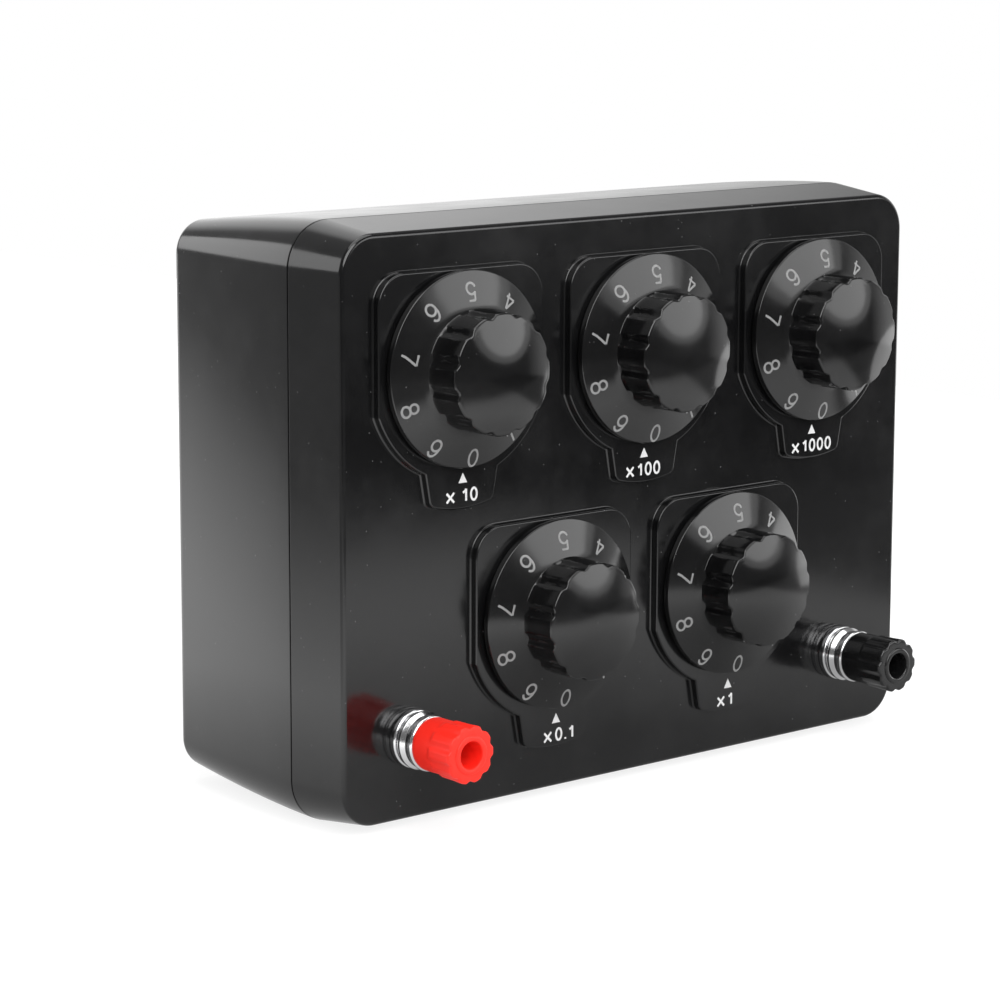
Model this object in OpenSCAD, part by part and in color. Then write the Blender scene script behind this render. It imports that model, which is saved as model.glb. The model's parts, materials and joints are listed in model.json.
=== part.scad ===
// Decade resistance box: two moulded covers, five numbered dials that turn rotary
// switches, and two binding posts, drawn as it stands on its long side.
// +X runs across the panel, -Y points out of the panel and +Z is up. Millimetres.
// Each piece is drawn with the panel lying face up, z = 0 on the panel's face and
// y = 0 at half height, and is then stood up about the case's footprint.

/* [Case] */
// Width of the case at its parting line
case_w = 165; // [158:1:190]
// Height of the case at its parting line
case_h = 125; // [118:1:150]
// Depth of the case without dials and posts
case_d = 60; // [50:1:80]
// Depth of the front cover
cover_d = 15.2; // [14:0.2:20]
// Wall of both covers
wall = 2.5; // [2:0.1:3]
// Thickness of the panel
panel_t = 2.5; // [2:0.1:3]
// Corner radius at the parting line
corner_r = 10; // [9:0.5:14]
// How far each side of the front cover leans in
front_draft = 1.9; // [0.5:0.1:2.5]
// How far each side of the rear cover leans in
rear_draft = 3; // [1:0.1:3.5]
// Rounding of the front edge
front_fillet = 0.9; // [0.4:0.1:1.5]
// Rounding of the back edge
back_fillet = 2.6; // [1:0.1:3]
// Height of the tongue that locates the covers
lip_h = 2; // [1:0.1:3]
// Distance of the case screws from the sides
screw_inset = 9; // [8:0.5:11]

/* [Panel layout] */
// Distance between neighbouring dials in a row
dial_pitch = 51; // [48:0.5:53]
// Distance between the two rows of dials
row_pitch = 54.2; // [52:0.2:56]
// Height of the middle between the rows above the panel's middle
row_mid = 5; // [3:0.5:7]
// Distance between the binding posts
post_pitch = 125.2; // [118:0.2:128]
// Depth of the binding posts below the panel's middle
post_drop = 43.7; // [42:0.1:46]

/* [Bezels] */
// Width of a bezel plate between its straight sides
bezel_w = 43.4; // [42:0.2:45]
// Radius of its round bottom about the dial axis
bezel_r = 23.2; // [22.6:0.1:24]
// Height of a bezel's straight top edge over the dial axis
bezel_top = 20.4; // [19:0.1:22]
// Corner radius of the top edge
bezel_corner = 7; // [3:0.5:8]
// How far a bezel stands out of the panel
bezel_h = 1.8; // [1:0.1:2.4]
// Radius of the bottom edge of the label tab
tab_r = 29.1; // [27:0.1:30]
// Width of the label tab where it leaves the round part
tab_w = 19.1; // [16:0.1:22]
// Width of the label tab at its bottom edge
tab_end_w = 16.6; // [14:0.2:18]
// Length cut off each corner of the label tab
tab_corner = 0.9; // [0.4:0.1:1.6]

/* [Knobs] */
// Diameter of the numbered skirt
skirt_d = 40.6; // [39:0.2:42]
// Air between bezel and skirt
skirt_gap = 0.6; // [0.4:0.1:1]
// Height of the skirt's rim
rim_t = 1.5; // [1.2:0.1:2.2]
// Rise of the skirt's cone
skirt_rise = 2.4; // [2:0.1:3]
// Wall of the skirt
skirt_wall = 1.5; // [1.1:0.1:1.8]
// Diameter of the grip
grip_d = 25; // [24:0.5:28]
// Height of the grip's side
grip_h = 9; // [8:0.2:12]
// Rise of the domed face over the grip's side
dome_rise = 1.3; // [0.6:0.1:2]
// Bevel round the grip's face
face_edge = 0.5; // [0.2:0.1:0.8]
// Number of flutes in the grip
flutes = 12; // [8:1:16]
// Radius of a flute
flute_r = 1.5; // [1.2:0.1:1.8]
// Depth of a flute
flute_depth = 0.9; // [0.5:0.1:1.2]
// Depth of the spindle hole in the knob
knob_bore_h = 8.4; // [7.5:0.1:9]
// Height of the grub screw over the skirt
grub_h = 3.6; // [3:0.1:4.5]
// Diameter of the grub screw
grub_d = 3; // [2.5:0.1:3.2]
// Length of the grub screw
grub_len = 5; // [4:0.5:7]

/* [Switches] */
// Diameter of a spindle
spindle_d = 6; // [5.5:0.1:6.4]
// Depth of the flat on a spindle
flat_depth = 0.5; // [0.3:0.1:0.8]
// Thread diameter of a bushing
bushing_d = 10; // [9:0.2:11]
// Diameter of a bushing's flange
flange_d = 16; // [14:0.5:18]
// Thickness of a bushing's flange
flange_t = 2; // [1.5:0.1:3]
// Width across flats of a panel nut
nut_af = 14; // [13:0.5:15]
// Thickness of a panel nut
nut_t = 2; // [1.6:0.1:2.2]
// Thickness of a lock washer
washer_t = 0.5; // [0.4:0.1:0.7]
// Bushing thread that shows over the nut
thread_over = 0.5; // [0.2:0.1:0.7]
// Distance of the wafer from the panel's inner face
switch_depth = 12; // [11:0.2:15]
// Radius of the wafer
wafer_r = 16; // [15.5:0.1:16.5]
// Thickness of the wafer
wafer_t = 2; // [1.5:0.1:2.5]
// Distance of the wafer's screws from the axis
wafer_fix_r = 19; // [18.5:0.1:19.5]
// Radius of the ring of contact studs
stud_ring_r = 12.5; // [12.2:0.1:12.8]
// Diameter of a contact head
contact_d = 4; // [3.4:0.1:4.4]
// Height of a contact head
contact_h = 0.8; // [0.5:0.1:1.2]
// Diameter of a contact's soldering tail
tail_d = 1.2; // [1:0.1:1.4]
// Length of the soldering tails behind the wafer
tail_len = 3.6; // [3:0.1:5]
// Outer diameter of the collector ring
collector_d = 14; // [13:0.2:15]
// Thickness of the wiper
wiper_t = 0.6; // [0.4:0.1:1]
// Width of the wiper's arm
wiper_w = 4; // [3:0.2:5]
// Diameter of a retaining clip
clip_d = 10; // [9:0.2:11]
// Thickness of a retaining clip
clip_t = 0.6; // [0.5:0.1:0.8]
// Diameter of a resistor
resistor_d = 2.3; // [1.8:0.1:2.6]
// Length of a resistor
resistor_len = 4.8; // [4:0.1:5.2]
// Diameter of a resistor's lead
lead_d = 0.6; // [0.4:0.05:0.8]
// Diameter of the hook-up wire
wire_d = 1.4; // [1:0.1:1.6]

/* [Binding posts] */
// Reach of a closed post out of the panel
post_len = 19; // [17:0.2:22]
// Thread diameter of a terminal stud
stud_d = 6; // [5.6:0.1:6.2]
// Diameter of the plug socket in a stud
socket_d = 4; // [4:0.02:4.1]
// Depth of the plug socket
socket_len = 6.6; // [6:0.1:7]
// How far a stud's end lies below the cap's end
stud_below = 7; // [6:0.1:7.4]
// Diameter of the wire hole through a stud
wire_hole_d = 2; // [1.2:0.1:2.2]
// Diameter of the flange on the base ring
base_d = 12.4; // [11.8:0.1:13]
// Height of the base ring
base_t = 2.4; // [2:0.1:3]
// Height of the flange
base_flange_h = 1.3; // [1:0.1:1.4]
// Rounding of the flange's edge
base_flange_round = 0.9; // [0.5:0.1:1]
// Width of the groove over the flange
base_groove_w = 0.25; // [0.1:0.05:0.4]
// Diameter of the narrow ring over that groove
base_ring_d = 11.6; // [11:0.1:11.8]
// Diameter of the clamping collar
collar_d = 12.2; // [11.6:0.1:13]
// Height of the clamping collar
collar_t = 4.2; // [3.8:0.1:5]
// Height of the straight part at the collar's back
collar_back = 0.9; // [0.6:0.1:1.2]
// Height of the bevel down to the collar's waist
collar_bevel = 0.8; // [0.5:0.1:1]
// Diameter of the collar's waist
waist_d = 11.2; // [10.6:0.1:11.4]
// Diameter of the collar's rim
collar_rim_d = 11.8; // [11.6:0.1:12.2]
// Height of the collar's rim
collar_rim_h = 1; // [0.8:0.1:1.2]
// Broken edge of the turned rings
ring_edge = 0.25; // [0.1:0.05:0.3]
// Depth of the cap's seat in the collar
seat_depth = 0.6; // [0.4:0.1:0.7]
// Radial room round the cap in that seat
seat_room = 0.5; // [0.3:0.05:0.55]
// Diameter of the cap's neck
neck_d = 10.2; // [9.8:0.1:10.3]
// Diameter over the lobes where they rise from the neck
cap_shoulder_d = 11.5; // [11:0.1:11.8]
// Length over which the lobes rise
cap_shoulder_h = 1.3; // [0.8:0.1:2]
// Diameter over the lobes at the cap's end
cap_d = 12.1; // [11.9:0.1:13]
// Number of flutes in a cap
cap_flutes = 10; // [8:1:12]
// Radius of a flute in a cap
cap_flute_r = 1; // [0.8:0.1:1.3]
// How far a cap's flutes stay clear of its neck
cap_flute_gap = 0.5; // [0.3:0.1:0.7]
// Diameter of the hole in the cap's end
cap_hole_d = 5.7; // [4.6:0.1:5.8]
// Diameter of the raised lip round that hole
cap_lip_d = 8.2; // [7.4:0.1:9]
// Height of the raised lip
cap_lip_h = 0.35; // [0.2:0.05:0.6]
// Length of a stud behind the panel
stud_tail = 9; // [8:0.2:12]
// Width across flats of a terminal nut
post_nut_af = 10; // [9:0.5:11]
// Thickness of a terminal nut
post_nut_t = 3.2; // [2.4:0.1:4]

/* [Screws] */
// Shank diameter of a case screw
case_screw_d = 3; // [2.6:0.1:3.4]
// Head diameter of a case screw
case_head_d = 5.6; // [5:0.1:6]
// Length of a case screw under its head
case_screw_len = 11; // [9:0.5:12]
// Thickness of the seat under a case screw's head
case_seat_t = 3.5; // [2.5:0.1:5]
// Wall round a screw's pilot hole in the front cover
boss_wall = 2.3; // [1.8:0.1:2.6]
// Wall round a screw's head in the rear cover
pillar_wall = 1.8; // [1.5:0.1:2.2]
// Wall of the pillars that carry a wafer
wafer_pillar_wall = 1.7; // [1.4:0.1:2]
// Shank diameter of a wafer screw
wafer_screw_d = 2.5; // [2:0.1:2.8]
// Head diameter of a wafer screw
wafer_head_d = 4.6; // [4:0.1:5]
// Length of a wafer screw under its head
wafer_screw_len = 8; // [6:0.5:9]

/* [Fits] */
// Radial clearance of turning and sliding fits
run_gap = 0.05; // [0.02:0.01:0.08]
// Radial clearance of parts that only sit in each other
seat_gap = 0.05; // [0.02:0.01:0.1]
// Clearance between parts that pass without guiding each other
free_gap = 0.3; // [0.2:0.05:0.4]

/* [Hidden] */
$fn = 64;
over = 1;
thin = 0.4;

DECADES = ["x10", "x100", "x1000", "x0_1", "x1"];
POLES = ["red", "black"];
DIAL_NODES = ["knob", "grub_screw", "spindle", "wiper", "clip", "wafer", "contacts", "resistors"];
POST_NODES = ["collar", "cap"];

// Layout on the panel
row_top = row_mid + row_pitch / 2;
row_low = row_mid - row_pitch / 2;
dial_at = [
    [-dial_pitch, row_top],
    [0, row_top],
    [dial_pitch, row_top],
    [-dial_pitch / 2, row_low],
    [dial_pitch / 2, row_low]
];
post_at = [[-post_pitch / 2, -post_drop], [post_pitch / 2, -post_drop]];
post_colour = ["red", "#222222"];

// Covers: every level of the case is the same rectangle grown by a radius
core_x = case_w / 2 - corner_r;
core_y = case_h / 2 - corner_r;
rear_side_d = case_d - cover_d - back_fillet;
side_curve = 1.6;
side_steps = 5;
fillet_step = 18;
lip_t = wall / 2 - seat_gap;
screw_x = case_w / 2 - screw_inset;
screw_y = case_h / 2 - screw_inset;
boss_d = case_screw_d + 2 * boss_wall;
pillar_d = case_head_d + 2 * pillar_wall;
case_seat_z = -cover_d - case_seat_t;
case_head_t = 2;
pilot_floor = 1.2;

// Knob and bushing stack, upwards from the bezel
washer_z = bezel_h;
nut_z = washer_z + washer_t;
bushing_top = nut_z + nut_t + thread_over;
hub_z = bushing_top + free_gap;
skirt_z = bezel_h + skirt_gap;
rim_z = skirt_z + rim_t;
skirt_top = rim_z + skirt_rise;
grip_top = skirt_top + grip_h;
knob_top = grip_top + dome_rise;
dome_r = (pow(grip_d / 2, 2) + pow(dome_rise, 2)) / (2 * dome_rise);
hub_room = 4;
cavity_r = max(nut_af / sqrt(3) + 2 * free_gap, bushing_d / 2 + hub_room);
grub_z = skirt_top + grub_h;
flat_x = spindle_d / 2 - flat_depth;

// Switch stack, downwards from the panel's inner face
inner_z = -panel_t;
wafer_z = inner_z - switch_depth;
wafer_back = wafer_z - wafer_t;
wiper_gap = 0.1;
wiper_z = wafer_z + contact_h + wiper_gap;
clip_z = wafer_back - free_gap - clip_t;
spindle_over = 1.4;
spindle_end = clip_z - spindle_over;
spindle_front = hub_z + knob_bore_h - free_gap;
groove_depth = 0.7;
groove_r = spindle_d / 2 - groove_depth;
wafer_ear_margin = 1.4;
wafer_ear_r = wafer_head_d / 2 + wafer_ear_margin;
wafer_pillar_d = wafer_screw_d + 2 * wafer_pillar_wall;
wafer_head_t = 1.8;
collector_room = 1.5;
collector_bore = spindle_d + 2 * collector_room;
collector_tail_r = (collector_d + collector_bore) / 4;
tail_z = wafer_back - tail_len;
stud_angle = 36;
stud_count = 10;
chord = 2 * stud_ring_r * sin(stud_angle / 2);
resistor_z = wafer_back - tail_len / 2;
lead_len = chord - tail_d - 2 * seat_gap;

// Binding post stack
stud_top = post_len - stud_below;
collar_z = base_t;
cap_z = collar_z + collar_t - seat_depth;
wire_hole_z = base_t + wire_hole_d / 2 + thin;
cap_face = post_len - cap_lip_h;
cap_bore_top = stud_top + free_gap + thin;
cap_edge = 0.4;
flare_z = cap_z + (cap_face - cap_z) / 3;
post_washer_t = 1;
tag_t = 0.6;
tag_z = inner_z - post_washer_t - tag_t;
post_nut_z = tag_z - post_nut_t;
tag_len = 9;
tag_w = 4;

// Footprint and standing place
front_reach = max(post_len, knob_top);
overall_d = case_d + front_reach;
panel_y = overall_d / 2 - case_d;

function stud_place(k) =
    let (turn = -90 - stud_angle * k)
    [stud_ring_r * cos(turn), stud_ring_r * sin(turn)];
function dome_z(r) = knob_top - dome_r + sqrt(pow(dome_r, 2) - pow(r, 2));
function rear_level(t) =
    [corner_r - rear_draft * pow(t, side_curve), -cover_d - t * rear_side_d];

// Outline of the front cover, from the parting line to the face
front_outside = concat(
    [[corner_r, -cover_d]],
    [for (a = [0 : fillet_step : 90])
        [
            corner_r - front_draft - front_fillet * (1 - cos(a)),
            front_fillet * (sin(a) - 1)
        ]]
);
front_inside = [
    [corner_r - wall, -cover_d - over],
    [corner_r - wall, -cover_d],
    [corner_r - wall - front_draft, -panel_t]
];
// Outline of the rear cover, from the back to the parting line
rear_outside = concat(
    [for (a = [-90 : fillet_step : -fillet_step])
        [
            corner_r - rear_draft - back_fillet * (1 - cos(a)),
            -case_d + back_fillet * (1 + sin(a))
        ]],
    [for (i = [side_steps : -1 : 0]) rear_level(i / side_steps)]
);
rear_inside = [
    [corner_r - wall - rear_draft, -case_d + wall],
    [corner_r - wall, -cover_d],
    [corner_r - wall, -cover_d + over]
];

// Placing
module stand() {
    translate([0, panel_y, case_h / 2]) rotate([90, 0, 0]) children();
}
module at_dial(i) {
    stand() translate([dial_at[i][0], dial_at[i][1], 0]) children();
}
module at_post(i) {
    stand() translate([post_at[i][0], post_at[i][1], 0]) children();
}
module each_dial() {
    for (i = [0 : len(DECADES) - 1]) at_dial(i) children();
}
module each_post() {
    for (i = [0 : len(POLES) - 1]) at_post(i) children();
}
module each_case_screw() {
    for (sx = [-1, 1]) for (sy = [-1, 1]) translate([sx * screw_x, sy * screw_y, 0]) children();
}
module each_wafer_screw() {
    for (sx = [-1, 1]) translate([sx * wafer_fix_r, 0, 0]) children();
}

// Plain shapes
module between(z_low, z_high, d) {
    translate([0, 0, z_low]) cylinder(h = z_high - z_low, d = d);
}
module tube(z_low, z_high, d, bore) {
    difference() {
        between(z_low, z_high, d);
        between(z_low - over, z_high + over, bore);
    }
}
module hex_nut(z_low, t, af, bore) {
    difference() {
        translate([0, 0, z_low]) cylinder(h = t, d = af / cos(30), $fn = 6);
        between(z_low - over, z_low + t + over, bore);
    }
}
module rod(a, b, d) {
    run = b - a;
    length = norm(run);
    translate(a) rotate([0, acos(run[2] / length), atan2(run[1], run[0])]) cylinder(h = length, d = d);
}
module d_section(d, flat, h) {
    linear_extrude(h) difference() {
        circle(d = d);
        translate([flat, -d]) square([d, 2 * d]);
    }
}

// A level outline swept round the case: straight sides and turned corners
module case_form(outline) {
    last = len(outline) - 1;
    quarter = concat([[0, outline[0][1]]], outline, [[0, outline[last][1]]]);
    section = concat(
        [for (p = outline) [core_y + p[0], p[1]]],
        [for (i = [last : -1 : 0]) [-core_y - outline[i][0], outline[i][1]]]
    );
    translate([-core_x, 0, 0]) rotate([90, 0, 90]) linear_extrude(2 * core_x) polygon(section);
    for (turn = [0, 180]) rotate(turn) translate([core_x, core_y, 0]) rotate([90, 0, 0])
        linear_extrude(2 * core_y) polygon(quarter);
    for (k = [0 : 3])
        translate([(k == 0 || k == 3 ? 1 : -1) * core_x, (k < 2 ? 1 : -1) * core_y, 0])
            rotate(90 * k) rotate_extrude(angle = 90) polygon(quarter);
}
module case_ring(radius, z_low, z_high) {
    case_form([[radius, z_low], [radius, z_high]]);
}

// Bezel plate: straight top and sides, a round bottom and a label tab
module bezel_outline() {
    half = bezel_w / 2;
    inner = half - bezel_corner;
    intersection() {
        circle(r = bezel_r);
        translate([-half, -bezel_r]) square([bezel_w, bezel_r + thin]);
    }
    translate([-half, 0]) square([bezel_w, bezel_top - bezel_corner]);
    translate([-inner, 0]) square([2 * inner, bezel_top]);
    for (side = [-1, 1]) translate([side * inner, bezel_top - bezel_corner]) circle(r = bezel_corner);
    tab_outline();
}
// Label tab: slanting sides, cut-off corners and a bottom edge about the dial's axis
module tab_outline() {
    end_y = -sqrt(tab_r * tab_r - tab_end_w * tab_end_w / 4);
    low = [tab_end_w / 2, end_y + tab_corner];
    side = [[tab_w / 2, 0], [tab_w / 2, -bezel_r], low, low - tab_end_w / 4 * [1, 1]];
    intersection() {
        circle(r = tab_r);
        polygon(concat(side, [for (k = [3 : -1 : 0]) [-side[k][0], side[k][1]]]));
    }
}

// Covers
module front_cover() {
    color("#1c1c1e") stand() difference() {
        union() {
            difference() {
                case_form(front_outside);
                case_form(front_inside);
            }
            difference() {
                case_ring(corner_r - wall + lip_t, -cover_d - lip_h, -cover_d);
                case_ring(corner_r - wall, -cover_d - lip_h - over, -cover_d + over);
            }
            for (place = dial_at) translate([place[0], place[1], -panel_t / 2]) {
                linear_extrude(bezel_h + panel_t / 2) bezel_outline();
                each_wafer_screw() between(wafer_z + panel_t / 2, 0, wafer_pillar_d);
            }
            each_case_screw() between(-cover_d, -panel_t / 2, boss_d);
        }
        for (place = dial_at) translate([place[0], place[1], 0]) {
            between(inner_z - over, bezel_h + over, bushing_d + 2 * seat_gap);
            each_wafer_screw() between(wafer_z - over, inner_z - pilot_floor, wafer_screw_d + 2 * seat_gap);
        }
        for (place = post_at) translate([place[0], place[1], 0])
            between(inner_z - over, over, stud_d + 2 * seat_gap);
        each_case_screw() between(-cover_d - over, inner_z - pilot_floor, case_screw_d + 2 * seat_gap);
    }
}
module rear_cover() {
    color("#1c1c1e") stand() difference() {
        union() {
            difference() {
                case_form(rear_outside);
                case_form(rear_inside);
                case_ring(corner_r - wall / 2, -cover_d - lip_h - seat_gap, -cover_d + over);
            }
            each_case_screw() between(-case_d + wall / 2, -cover_d, pillar_d);
        }
        each_case_screw() {
            between(-case_d - over, case_seat_z, case_head_d + 4 * free_gap);
            between(-case_d, -cover_d + over, case_screw_d + free_gap);
        }
    }
}
module case_screws() {
    color("#b8b8b8") stand() each_case_screw() {
        between(case_seat_z - case_head_t, case_seat_z, case_head_d);
        between(case_seat_z - thin, case_seat_z + case_screw_len, case_screw_d);
    }
}

// Dials
module knob_profile() {
    difference() {
        union() {
            polygon([
                [0, skirt_z],
                [skirt_d / 2, skirt_z],
                [skirt_d / 2, rim_z],
                [grip_d / 2, skirt_top],
                [0, skirt_top]
            ]);
            intersection() {
                translate([0, knob_top - dome_r]) circle(r = dome_r, $fn = 200);
                polygon([
                    [0, skirt_top - thin],
                    [grip_d / 2, skirt_top - thin],
                    [grip_d / 2, grip_top - face_edge],
                    [grip_d / 2 - face_edge, dome_z(grip_d / 2 - face_edge)],
                    [grip_d / 2 - face_edge, knob_top],
                    [0, knob_top]
                ]);
            }
        }
        polygon([
            [0, skirt_z - over],
            [skirt_d / 2 - skirt_wall, skirt_z - over],
            [skirt_d / 2 - skirt_wall, rim_z - skirt_wall],
            [cavity_r, hub_z],
            [0, hub_z]
        ]);
    }
}
module knob(i) {
    flute_ring = grip_d / 2 + flute_r - flute_depth;
    color("#141416") at_dial(i) difference() {
        rotate_extrude() knob_profile();
        for (k = [0 : flutes - 1]) rotate((k + 0.5) * 360 / flutes) translate([flute_ring, 0, 0])
            between(skirt_top, knob_top + over, 2 * flute_r);
        translate([0, 0, hub_z - over])
            d_section(spindle_d + 2 * seat_gap, flat_x + seat_gap, knob_bore_h + over);
        rod([flat_x - thin, 0, grub_z], [grip_d, 0, grub_z], grub_d + 2 * seat_gap);
    }
}
module grub_screw(i) {
    color("#4a4a4c") at_dial(i) difference() {
        rod([flat_x, 0, grub_z], [flat_x + grub_len, 0, grub_z], grub_d);
        translate([flat_x + grub_len / 2, 0, grub_z]) rotate([0, 90, 0])
            cylinder(h = grub_len, d = grub_d / 2, $fn = 6);
    }
}
module spindle(i) {
    shoulder = wiper_z + wiper_t;
    color("#c8b070") at_dial(i) difference() {
        between(spindle_end, spindle_front, spindle_d);
        for (z = [spindle_end - over, hub_z]) translate([flat_x, -spindle_d, z])
            cube([spindle_d, 2 * spindle_d, (z < 0 ? shoulder : spindle_front + over) - z]);
        tube(clip_z, clip_z + clip_t, 2 * spindle_d, 2 * groove_r);
    }
}
module wiper(i) {
    color("#d0a050") at_dial(i) translate([0, 0, wiper_z]) linear_extrude(wiper_t) difference() {
        union() {
            circle(d = collector_d);
            translate([-wiper_w / 2, -stud_ring_r]) square([wiper_w, stud_ring_r]);
            translate([0, -stud_ring_r]) circle(d = wiper_w);
        }
        difference() {
            circle(d = spindle_d + 2 * seat_gap);
            translate([flat_x + seat_gap, -spindle_d]) square([spindle_d, 2 * spindle_d]);
        }
    }
}
module clip(i) {
    clip_mouth = 1.4 * groove_r;
    color("#707478") at_dial(i) translate([0, 0, clip_z]) linear_extrude(clip_t) difference() {
        circle(d = clip_d);
        circle(r = groove_r + seat_gap);
        translate([-clip_mouth / 2, 0]) square([clip_mouth, clip_d]);
    }
}

// Switches
module wafer(i) {
    color("#7a4a22") at_dial(i) translate([0, 0, wafer_back]) linear_extrude(wafer_t) difference() {
        union() {
            circle(r = wafer_r);
            translate([-wafer_fix_r, -wafer_ear_r]) square([2 * wafer_fix_r, 2 * wafer_ear_r]);
            each_wafer_screw() circle(r = wafer_ear_r);
        }
        circle(d = spindle_d + 2 * free_gap);
        translate([0, collector_tail_r]) circle(d = tail_d + 2 * seat_gap);
        for (k = [0 : stud_count - 1]) translate(stud_place(k)) circle(d = tail_d + 2 * seat_gap);
        each_wafer_screw() circle(d = wafer_screw_d + 2 * seat_gap);
    }
}
module contacts(i) {
    color("#d8b860") at_dial(i) {
        for (k = [0 : stud_count - 1]) translate(stud_place(k)) {
            between(wafer_z, wafer_z + contact_h, contact_d);
            between(tail_z, wafer_z + contact_h / 2, tail_d);
        }
        tube(wafer_z, wafer_z + contact_h, collector_d, collector_bore);
        translate([0, collector_tail_r, 0]) between(tail_z, wafer_z + contact_h / 2, tail_d);
    }
}
module resistors(i) {
    color("#9fb8c8") at_dial(i) for (k = [0 : stud_count - 2]) {
        from = stud_place(k);
        step = (stud_place(k + 1) - from) / chord;
        middle = (stud_place(k + 1) + from) / 2;
        for (part = [[resistor_len, resistor_d], [lead_len, lead_d]]) {
            reach = step * part[0] / 2;
            rod(
                [middle[0] - reach[0], middle[1] - reach[1], resistor_z],
                [middle[0] + reach[0], middle[1] + reach[1], resistor_z],
                part[1]
            );
        }
    }
}
module bushings() {
    color("#c8b070") each_dial() difference() {
        union() {
            between(inner_z - flange_t, inner_z, flange_d);
            between(inner_z - thin, bushing_top, bushing_d);
        }
        between(inner_z - flange_t - over, bushing_top + over, spindle_d + 2 * run_gap);
    }
}
module lock_washers() {
    color("#a8aaac") each_dial() tube(washer_z, nut_z, nut_af, bushing_d + 2 * seat_gap);
}
module panel_nuts() {
    color("#b4b6b8") each_dial() hex_nut(nut_z, nut_t, nut_af, bushing_d + 2 * seat_gap);
}
module wafer_screws() {
    color("#b8b8b8") each_dial() each_wafer_screw() {
        between(wafer_back - wafer_head_t, wafer_back, wafer_head_d);
        between(wafer_back - thin, wafer_back + wafer_screw_len, wafer_screw_d);
    }
}

// Wires: from the red post through the decades in series to the black post
module wire(from, to, depth) {
    bend_share = 1.1;
    a = [from[0], from[1], from[2] - seat_gap];
    d = [to[0], to[1], to[2] - seat_gap];
    b = [a[0], a[1], depth];
    c = [d[0], d[1], depth];
    rod(a, b, wire_d);
    rod(b, c, wire_d);
    rod(c, d, wire_d);
    for (bend = [b, c]) translate(bend) sphere(d = bend_share * wire_d);
}
module hookup_wires() {
    series = [3, 4, 2, 1, 0];
    wire_drop = 4;
    first_depth = tail_z - wire_drop;
    layer = 2 * wire_d;
    tag_end = tag_len - tag_w / 2;
    tag_at = [for (p = post_at) [p[0], p[1] + tag_end, tag_z]];
    stud_at = [for (p = dial_at) [p[0] + stud_place(0)[0], p[1] + stud_place(0)[1], tail_z]];
    collector_at = [for (p = dial_at) [p[0], p[1] + collector_tail_r, tail_z]];
    color("#b03028") stand() {
        wire(tag_at[0], stud_at[series[0]], first_depth);
        for (k = [1 : len(series) - 1])
            wire(collector_at[series[k - 1]], stud_at[series[k]], first_depth - k * layer);
        wire(collector_at[series[4]], tag_at[1], first_depth - 5 * layer);
    }
}

// Binding posts
module terminal_studs() {
    color("#d8d8da") each_post() difference() {
        between(inner_z - stud_tail, stud_top, stud_d);
        between(stud_top - socket_len, stud_top + over, socket_d);
        rod([-stud_d, 0, wire_hole_z], [stud_d, 0, wire_hole_z], wire_hole_d);
    }
}
module terminal_bases() {
    base_r = base_d / 2;
    ring_r = base_ring_d / 2;
    groove_z = base_flange_h + base_groove_w;
    color("#e4e4e6") each_post() difference() {
        rotate_extrude() polygon(concat(
            [[0, 0], [base_r, 0]],
            [for (a = [0 : fillet_step : 90])
                [
                    base_r - base_flange_round * (1 - cos(a)),
                    base_flange_h + base_flange_round * (sin(a) - 1)
                ]],
            [
                [base_r - base_flange_round, groove_z],
                [ring_r - ring_edge, groove_z],
                [ring_r, groove_z + ring_edge],
                [ring_r, base_t - ring_edge],
                [ring_r - ring_edge, base_t],
                [0, base_t]
            ]
        ));
        between(-over, base_t + over, stud_d + 2 * seat_gap);
    }
}
module collar(i) {
    bevel_z = collar_z + collar_back;
    collar_top = collar_z + collar_t;
    color("#e4e4e6") at_post(i) difference() {
        rotate_extrude() polygon([
            [0, collar_z],
            [collar_d / 2 - ring_edge, collar_z],
            [collar_d / 2, collar_z + ring_edge],
            [collar_d / 2, bevel_z],
            [waist_d / 2, bevel_z + collar_bevel],
            [waist_d / 2, collar_top - collar_rim_h],
            [collar_rim_d / 2, collar_top - collar_rim_h + ring_edge],
            [collar_rim_d / 2, collar_top - ring_edge],
            [collar_rim_d / 2 - ring_edge, collar_top],
            [0, collar_top]
        ]);
        between(collar_z - over, collar_top + over, stud_d + 2 * run_gap);
        between(cap_z, collar_top + over, neck_d + 2 * seat_room);
    }
}
module cap(i) {
    flute_ring = neck_d / 2 + cap_flute_gap + cap_flute_r;
    color(post_colour[i]) at_post(i) difference() {
        rotate_extrude() polygon([
            [0, cap_z],
            [neck_d / 2, cap_z],
            [neck_d / 2, flare_z],
            [cap_shoulder_d / 2, flare_z + cap_shoulder_h],
            [cap_d / 2, cap_face - cap_edge],
            [cap_d / 2 - cap_edge, cap_face],
            [cap_lip_d / 2, cap_face],
            [cap_lip_d / 2, post_len],
            [0, post_len]
        ]);
        for (k = [0 : cap_flutes - 1]) rotate((k + 0.5) * 360 / cap_flutes) translate([flute_ring, 0, 0])
            between(flare_z, post_len + over, 2 * cap_flute_r);
        between(cap_z - over, cap_bore_top, stud_d + 2 * run_gap);
        between(cap_z, post_len + over, cap_hole_d);
    }
}
module terminal_washers() {
    color("#b8b8b8") each_post()
        tube(inner_z - post_washer_t, inner_z, post_nut_af / cos(30), stud_d + 2 * seat_gap);
}
module solder_tags() {
    color("#d0c8b0") each_post() translate([0, 0, tag_z]) linear_extrude(tag_t) difference() {
        union() {
            circle(d = post_nut_af);
            translate([-tag_w / 2, 0]) square([tag_w, tag_len - tag_w / 2]);
            translate([0, tag_len - tag_w / 2]) circle(d = tag_w);
        }
        circle(d = stud_d + 2 * seat_gap);
    }
}
module terminal_nuts() {
    color("#b8b8b8") each_post() hex_nut(post_nut_z, post_nut_t, post_nut_af, stud_d + 2 * seat_gap);
}

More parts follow.
